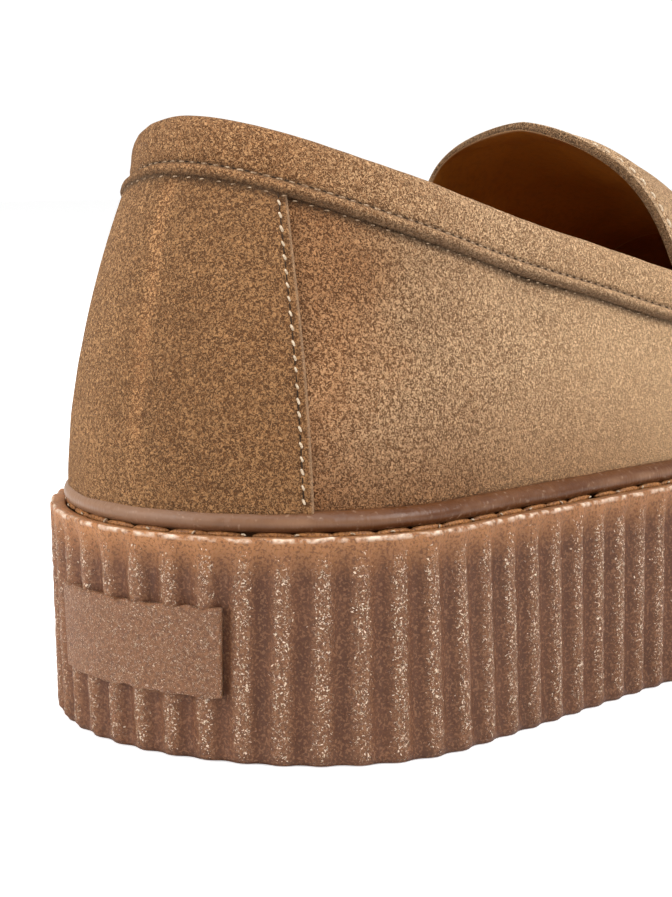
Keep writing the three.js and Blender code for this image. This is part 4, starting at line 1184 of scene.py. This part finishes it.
makeCounter()
for side, label in ((1, "Outer"), (-1, "Inner")):
    points, normals = counterSeam(side)
    stitch = {**counterSizes["stitch"], "slant": 0.35 * side}
    sewRow("counterStitches" + label, points, normals, stitch, creamThread, 61, "counter_suede")
    sewRow("counterHoles" + label, points - normals * 0.05, normals, counterSizes["hole"], holeShade, 61,
           "counter_suede")

# Collar band

collarSizes = {
    "end": 128.0, "swell": [(0.12, 71, 16.0), (0.05, 72, 5.0)],
    # below the topline, out from the upper; below zero is over the top
    "section": [(7.6, 0.0), (7.55, 0.75), (7.32, 1.3), (6.95, 1.68), (6.5, 1.75), (6.1, 1.5), (5.72, 0.98),
                (5.4, 0.62), (5.05, 0.82), (4.6, 1.1), (3.9, 1.35), (3.0, 1.62), (2.1, 1.9), (1.2, 2.1),
                (0.4, 2.22), (-0.4, 2.12), (-1.05, 1.75), (-1.55, 1.15), (-1.85, 0.35), (-1.95, -0.6),
                (-1.7, -1.6), (-1.1, -2.5), (-0.4, -3.0), (0.6, -3.15), (2.5, -3.1), (4.8, -3.05), (7.6, -3.0),
                (7.7, -2.1), (5.0, -2.0), (2.0, -1.9), (0.3, -1.85), (0.2, -0.9), (0.3, 0.0), (3.0, 0.0)],
    # each row's depth below the topline and its height off the upper, the last with its rise over the counter
    "stitchAt": (5.42, 0.68), "holeAt": (5.36, 0.64), "lowerAt": (7.85, 0.15, 1.1),
    "stitch": {"pitch": 2.05, "length": 1.2, "thickness": 0.38, "rise": 0.08, "slant": 0.12},
    "lower": {"pitch": 2.6, "length": 0.8, "thickness": 0.22, "rise": 0.03, "slant": 0.2},
    "hole": {"pitch": 2.05, "start": 1.0, "length": 0.8, "thickness": 0.45, "rise": 0.05},
}


def collarRoute(count):
    outer = np.array([True, False])
    reach = solve(lambda way: lastPoint(shareOf(way, outer), toplineUp(shareOf(way, outer)))[..., 1],
                  collarSizes["end"], np.full(2, 0.1), np.full(2, 0.45))
    return np.mod(np.linspace(-reach[1] / 2, reach[0] / 2, count), 1.0)


def collarPoint(share, top, edge, below, out):
    up = upAtHeight(share, edge - max(below, 0.0))
    up = np.where(below <= 0, top, up)
    rising = unit(lastPoint(share, top) - lastPoint(share, top - 0.01))
    return shellPoint(share, up, out) + rising * max(-below, 0.0)


def makeCollar():
    share = collarRoute(430)
    top = toplineUp(share)
    edge = heightAt(share, top)
    rings = []
    for below, out in collarSizes["section"]:
        ring = collarPoint(share, top, edge, below, out)
        if out > 1.2 or below < 0:
            ring = ring + lastNormal(share, top) * swellOf(ring, collarSizes)[:, None]
        rings.append(ring)
    rings = np.array(rings).transpose(1, 0, 2)
    rows, columns = rings.shape[:2]
    faces = gridFaces(rows, columns, columnLoop=True, flip=True)
    lastFirst = (rows - 1) * columns
    faces += [list(range(columns)), list(range(lastFirst + columns - 1, lastFirst - 1, -1))]
    # the lining leg is smooth leather
    inside = [out < -2.2 for _, out in collarSizes["section"]]
    kinds = [int(inside[n] and inside[(n + 1) % columns]) for n in range(columns)] * (rows - 1)
    place = np.stack([np.repeat(arcOfShare(share), columns), np.repeat(edge, columns),
                      np.tile([below for below, _ in collarSizes["section"]], rows)], -1)
    piece = buildObject("collarBand", rings.reshape(-1, 3), faces, [collarSuede, liningLeather], kinds + [0, 0],
                        {"place": place})
    dress(piece, "collar_suede", "collar_band")


def collarLine(below, out, overCounter=0.0):
    share = collarRoute(700)
    top = toplineUp(share)
    out = out + overCounter * smooth(np.abs(arcOfShare(share)), counterSizes["top"] + 0.4, counterSizes["top"] - 0.4)
    return collarPoint(share, top, heightAt(share, top), below, out), lastNormal(share, top)


makeCollar()
sewRow("collarStitches", *collarLine(*collarSizes["stitchAt"]), collarSizes["stitch"], tanThread, 81, "collar_suede")
sewRow("collarHoles", *collarLine(*collarSizes["holeAt"]), collarSizes["hole"], holeShade, 81, "collar_suede")
sewRow("collarLowerStitches", *collarLine(*collarSizes["lowerAt"]), collarSizes["lower"], tanThread, 83,
       "collar_suede")

# Saddle and tongue

saddleSizes = {
    "back": 168.0, "front": 196.0, "sweep": 14.0, "flare": 45.0, "thick": 1.6, "lift": 0.25, "rounding": 1.2,
    "fold": 1.8, "lowest": 4.3, "seamIn": 3.0, "dip": 0.35, "dipWidth": 0.8,
    "swell": [(0.18, 91, 28.0), (0.07, 92, 9.0)], "rows": {"Back": 0.075, "Front": 0.925},
    "stitch": {"pitch": 2.9, "length": 2.1, "thickness": 0.6, "rise": 0.2},
}
tongueSizes = {
    "edge": 119.0, "root": 182.0, "low": 0.36, "thick": 1.9, "rootThick": 1.1, "rounding": 0.7,
    "seamIn": 1.9, "dip": 0.35, "dipWidth": 0.7, "seamRow": 0.04, "swell": [(0.15, 101, 22.0)],
    # lengths where the pad rises to the saddle and where it thickens
    "raised": (123.0, 152.0), "raisedDepth": 0.35, "thickened": (128.0, 146.0),
    "stitch": {"pitch": 3.2, "length": 2.0, "thickness": 0.65, "rise": 0.16},
}


def crossing(cells, rows, lowestUp, edgeBack, edgeFront):  # from low on the inner side over to the outer
    across = 2 * cells - 1
    low = np.abs(across)[None, :]
    y = lerp(edgeBack(low), edgeFront(low), rows[:, None])
    side = np.where(across >= 0, 1.0, -1.0)[None, :]
    reach = side * low * (1 - lowestUp(side, y))
    return placeAlong(np.broadcast_to(reach, y.shape), y)


def saddleBackAt(low):
    return saddleSizes["back"] - saddleSizes["flare"] * low**2 * (3 - 2 * low)


def saddleFrontAt(low):
    return saddleSizes["front"] - saddleSizes["sweep"] * low**2


def saddleLow(side, y):
    share, _ = placeAlong(np.broadcast_to(side * 1.0, y.shape), y)
    return upAtHeight(share, saddleSizes["lowest"])


def makeSaddle():
    share, up = crossing(edgeRows(190.0, 1.3), edgeRows(42.0, 0.9), saddleLow, saddleBackAt, saddleFrontAt)
    base = lastPoint(share, up)
    fromEdge = edgeDistance(base)
    rise = saddleSizes["thick"] * roundOver(fromEdge / saddleSizes["rounding"])
    swell = swellOf(base, saddleSizes) * smooth(fromEdge, 0, 4)
    high = shellPoint(share, up, saddleSizes["lift"] + rise + seamDip(fromEdge, saddleSizes) + swell)
    fold = saddleSizes["fold"] * smooth(lengthsDown(base), 3.0, 0.0) * smooth(up, 0.45, 0.62)
    points, faces, kinds = closedPatch(shellPoint(share, up, -0.1 - fold), high, under=0, edge=1)
    piece = buildObject("saddleStrap", points, faces, [saddleSuede, rawEdge], kinds,
                        {"fromEdge": np.tile(fromEdge.ravel(), 2)})
    dress(piece, "saddle_suede", "saddle")


def saddleSeam(row):
    share, up = crossing(np.linspace(0.02, 0.98, 260), np.array([row]), saddleLow, saddleBackAt, saddleFrontAt)
    out = saddleSizes["lift"] + saddleSizes["thick"] - 0.12
    return shellPoint(share[0], up[0], out), lastNormal(share[0], up[0])


def tongueGrid(cells, rows):
    return crossing(cells, rows, lambda side, y: tongueSizes["low"],
                    lambda low: tongueSizes["edge"] + 0 * low, lambda low: tongueSizes["root"] + 0 * low)


def tongueDepth(up):
    sideDepth = upperSizes["wall"] + upperSizes["gap"] + 1.0 + 2 * upperSizes["gap"]
    ridgeDepth = upperSizes["wall"] + upperSizes["gap"]
    return lerp(sideDepth, ridgeDepth, np.clip((up - tongueSizes["low"]) / (1 - tongueSizes["low"]), 0, 1) ** 3)


def makeTongue():
    share, up = tongueGrid(edgeRows(120.0, 0.9), edgeRows(47.0, 1.1))
    base = lastPoint(share, up)
    fromEdge = edgeDistance(base)
    depth = lerp(tongueDepth(up), tongueSizes["raisedDepth"], smooth(base[..., 1], *tongueSizes["raised"]))
    rounding = roundOver(fromEdge / tongueSizes["rounding"])
    swell = swellOf(base, tongueSizes) * smooth(fromEdge, 0, 5)
    high = shellPoint(share, up, swell + seamDip(fromEdge, tongueSizes) - depth - 0.35 * (1 - rounding))
    outer = np.where(np.mod(share, 1.0) <= 0.5, 1 - up, up - 1)  # the flesh is pared on the inner side
    thick = (tongueSizes["thick"] * lerp(0.55, 1.05, smooth(outer, -0.35, 0.12))
             + tongueSizes["rootThick"] * smooth(base[..., 1], *tongueSizes["thickened"]))
    low = shellPoint(share, up, 0.5 * swell - depth - thick + 0.15 * (1 - rounding))
    points, faces, kinds = closedPatch(low, high)
    count = len(points) // 2
    piece = buildObject("tonguePad", points, faces, [saddleSuede, liningLeather, rawEdge], kinds, {
        "fromEdge": np.tile(fromEdge.ravel(), 2), "rim": np.concatenate([np.zeros(count), np.ones(count)])})
    dress(piece, "tongue_leather", "tongue")


def tongueSeam():
    share, up = tongueGrid(np.linspace(0.03, 0.97, 240), np.array([tongueSizes["seamRow"]]))
    return shellPoint(share[0], up[0], -tongueDepth(up[0]) - 0.15), lastNormal(share[0], up[0])


makeSaddle()
for label, row in saddleSizes["rows"].items():
    sewRow("saddleStitches" + label, *saddleSeam(row), saddleSizes["stitch"], creamThread, 111, "saddle_suede")
makeTongue()
sewRow("tongueStitches", *tongueSeam(), tongueSizes["stitch"], creamThread, 112, "tongue_leather")


def apronLine(side):
    share = shareOf(np.linspace(seamSizes["sewnFrom"], seamSizes["sewnTo"], 400), side > 0)
    points = shellPoint(share, seamSizes["sewnAt"], 0.1)
    keep = points[:, 1] > saddleSizes["front"] + 3
    return points[keep], lastNormal(share, seamSizes["sewnAt"])[keep]


for side, label in ((1, "Outer"), (-1, "Inner")):
    sewRow("apronStitches" + label, *apronLine(side), saddleSizes["stitch"], creamThread, 113, "upper_suede")

# Insole

insoleSizes = {"thick": 3.4, "crown": 0.6, "edge": [(0.8, 0.0), (0.25, 0.2), (0.0, 0.9)]}  # edge: down, in


def makeInsole():
    share = wholeWay(360)
    inner = -upperSizes["wall"] - upperSizes["gap"]
    high = floorLift + insoleSizes["thick"]
    rings = [outsideFoot(share, high - down, inner - inset) for down, inset in [
        (insoleSizes["thick"], 0.0), *insoleSizes["edge"]]]
    rim = rings[-1]
    mirror = rim[(-np.arange(len(share))) % len(share)]
    middle = np.stack([(rim[:, 0] + mirror[:, 0]) / 2, (rim[:, 1] + mirror[:, 1]) / 2, rim[:, 2]], -1)
    for part in (0.12, 0.3, 0.55, 0.8):
        ring = lerp(rim, middle, part)
        ring[:, 2] = topHeight(ring[:, 1]) + high - insoleSizes["crown"] * smooth(part, 0, 1)
        rings.append(ring)
    points = np.concatenate(rings)
    faces = gridFaces(len(rings), len(share), columnLoop=True)
    n, first = len(share), (len(rings) - 1) * len(share)
    for start, up in ((0, False), (first, True)):
        for i in range(n // 2):
            a, b, c, d = start + i, start + i + 1, start + (n - i - 1) % n, start + (n - i) % n
            quad = list(dict.fromkeys([a, b, c, d]))
            if len(quad) > 2:
                faces.append(quad if up else quad[::-1])
    dress(buildObject("insoleSock", points, faces, [liningLeather]), "insole_leather", "insole")


makeInsole()

# Floor, lights and camera

studio = {
    "floorSize": 4.0, "floorDrop": 0.0002, "floorGlow": 0.62, "sky": 0.4, "backdrop": 1.05,
    # power, size, direction to the camera's right, towards it and upward
    "lamps": {"keyLight": (7.5, 0.7, 0.85, 0.45, 0.75), "fillLight": (6.0, 0.8, -0.9, 0.5, 0.4),
              "topLight": (5.8, 0.9, -0.1, 0.1, 1.0)},
    "lampReach": 0.9, "aim": (0.0, -0.06, 0.05),
}


def makeFloor():
    half, low = studio["floorSize"] / 2, -studio["floorDrop"]
    mesh = bpy.data.meshes.new("floor")
    mesh.from_pydata([(x * half, y * half, low) for x, y in ((-1, -1), (1, -1), (1, 1), (-1, 1))], [], [(0, 1, 2, 3)])
    material, tree, shader, _ = newMaterial("paleFloor", {
        "Base Color": (0.86, 0.86, 0.86, 1), "Roughness": 0.9, "Emission Color": (1, 1, 1, 1)})
    seen = valueOf(tree, "ShaderNodeLightPath", output="Is Camera Ray")
    putIn(tree, shader["Emission Strength"], seen * studio["floorGlow"])
    mesh.materials.append(material)
    floor = bpy.data.objects.new("floor", mesh)
    scene.collection.objects.link(floor)


def softLight(name, power, size, direction):
    lamp = bpy.data.lights.new(name, "AREA")
    lamp.energy, lamp.size, lamp.shape = power, size, "DISK"
    holder = bpy.data.objects.new(name, lamp)
    aim = np.array(studio["aim"])
    place = aim + unit(direction) * studio["lampReach"]
    holder.location = place
    facing = unit(aim - place)
    side = unit(np.cross(facing, [0.0, 0.0, 1.0]))
    over = np.cross(side, facing)
    holder.rotation_mode = "QUATERNION"
    holder.matrix_world = matrixOf(side, over, -facing, place)
    scene.collection.objects.link(holder)


def matrixOf(x, y, z, place):
    return Matrix([*np.stack([x, y, z, place], -1).tolist(), [0, 0, 0, 1]])


cameraSizes = {
    "place": (0.23041, -0.38464, 0.09564), "azimuth": 37.763, "elevation": 8.101, "roll": -0.688, "lens": 88.29,
}


def makeCamera():
    a, e, r = (math.radians(cameraSizes[key]) for key in ("azimuth", "elevation", "roll"))
    back = np.array([math.sin(a) * math.cos(e), -math.cos(a) * math.cos(e), math.sin(e)])
    level = np.array([math.cos(a), math.sin(a), 0.0])
    down = np.cross(-back, level)
    right = math.cos(r) * level + math.sin(r) * down
    lower = -math.sin(r) * level + math.cos(r) * down
    data = bpy.data.cameras.new("photoCamera")
    data.lens, data.sensor_width, data.clip_start, data.clip_end = cameraSizes["lens"], 36.0, 0.01, 20.0
    camera = bpy.data.objects.new("photoCamera", data)
    camera.matrix_world = matrixOf(right, -lower, back, cameraSizes["place"])
    scene.collection.objects.link(camera)
    scene.camera = camera
    return level, back


def makeSky():
    world = bpy.data.worlds.new("studioSky")
    scene.world = world
    world.use_nodes = True
    tree = world.node_tree
    seen = valueOf(tree, "ShaderNodeLightPath", output="Is Camera Ray")
    sky = tree.nodes["Background"].inputs
    sky["Color"].default_value = (1, 1, 1, 1)
    putIn(tree, sky["Strength"], remap(seen, 0.0, 1.0, studio["sky"], studio["backdrop"]))


makeFloor()
level, back = makeCamera()
for name, (power, size, right, near, high) in studio["lamps"].items():
    softLight(name, power, size, right * level + near * back + high * np.array([0.0, 0.0, 1.0]))
makeSky()
scene.view_settings.view_transform = "Standard"
print("studio ready")
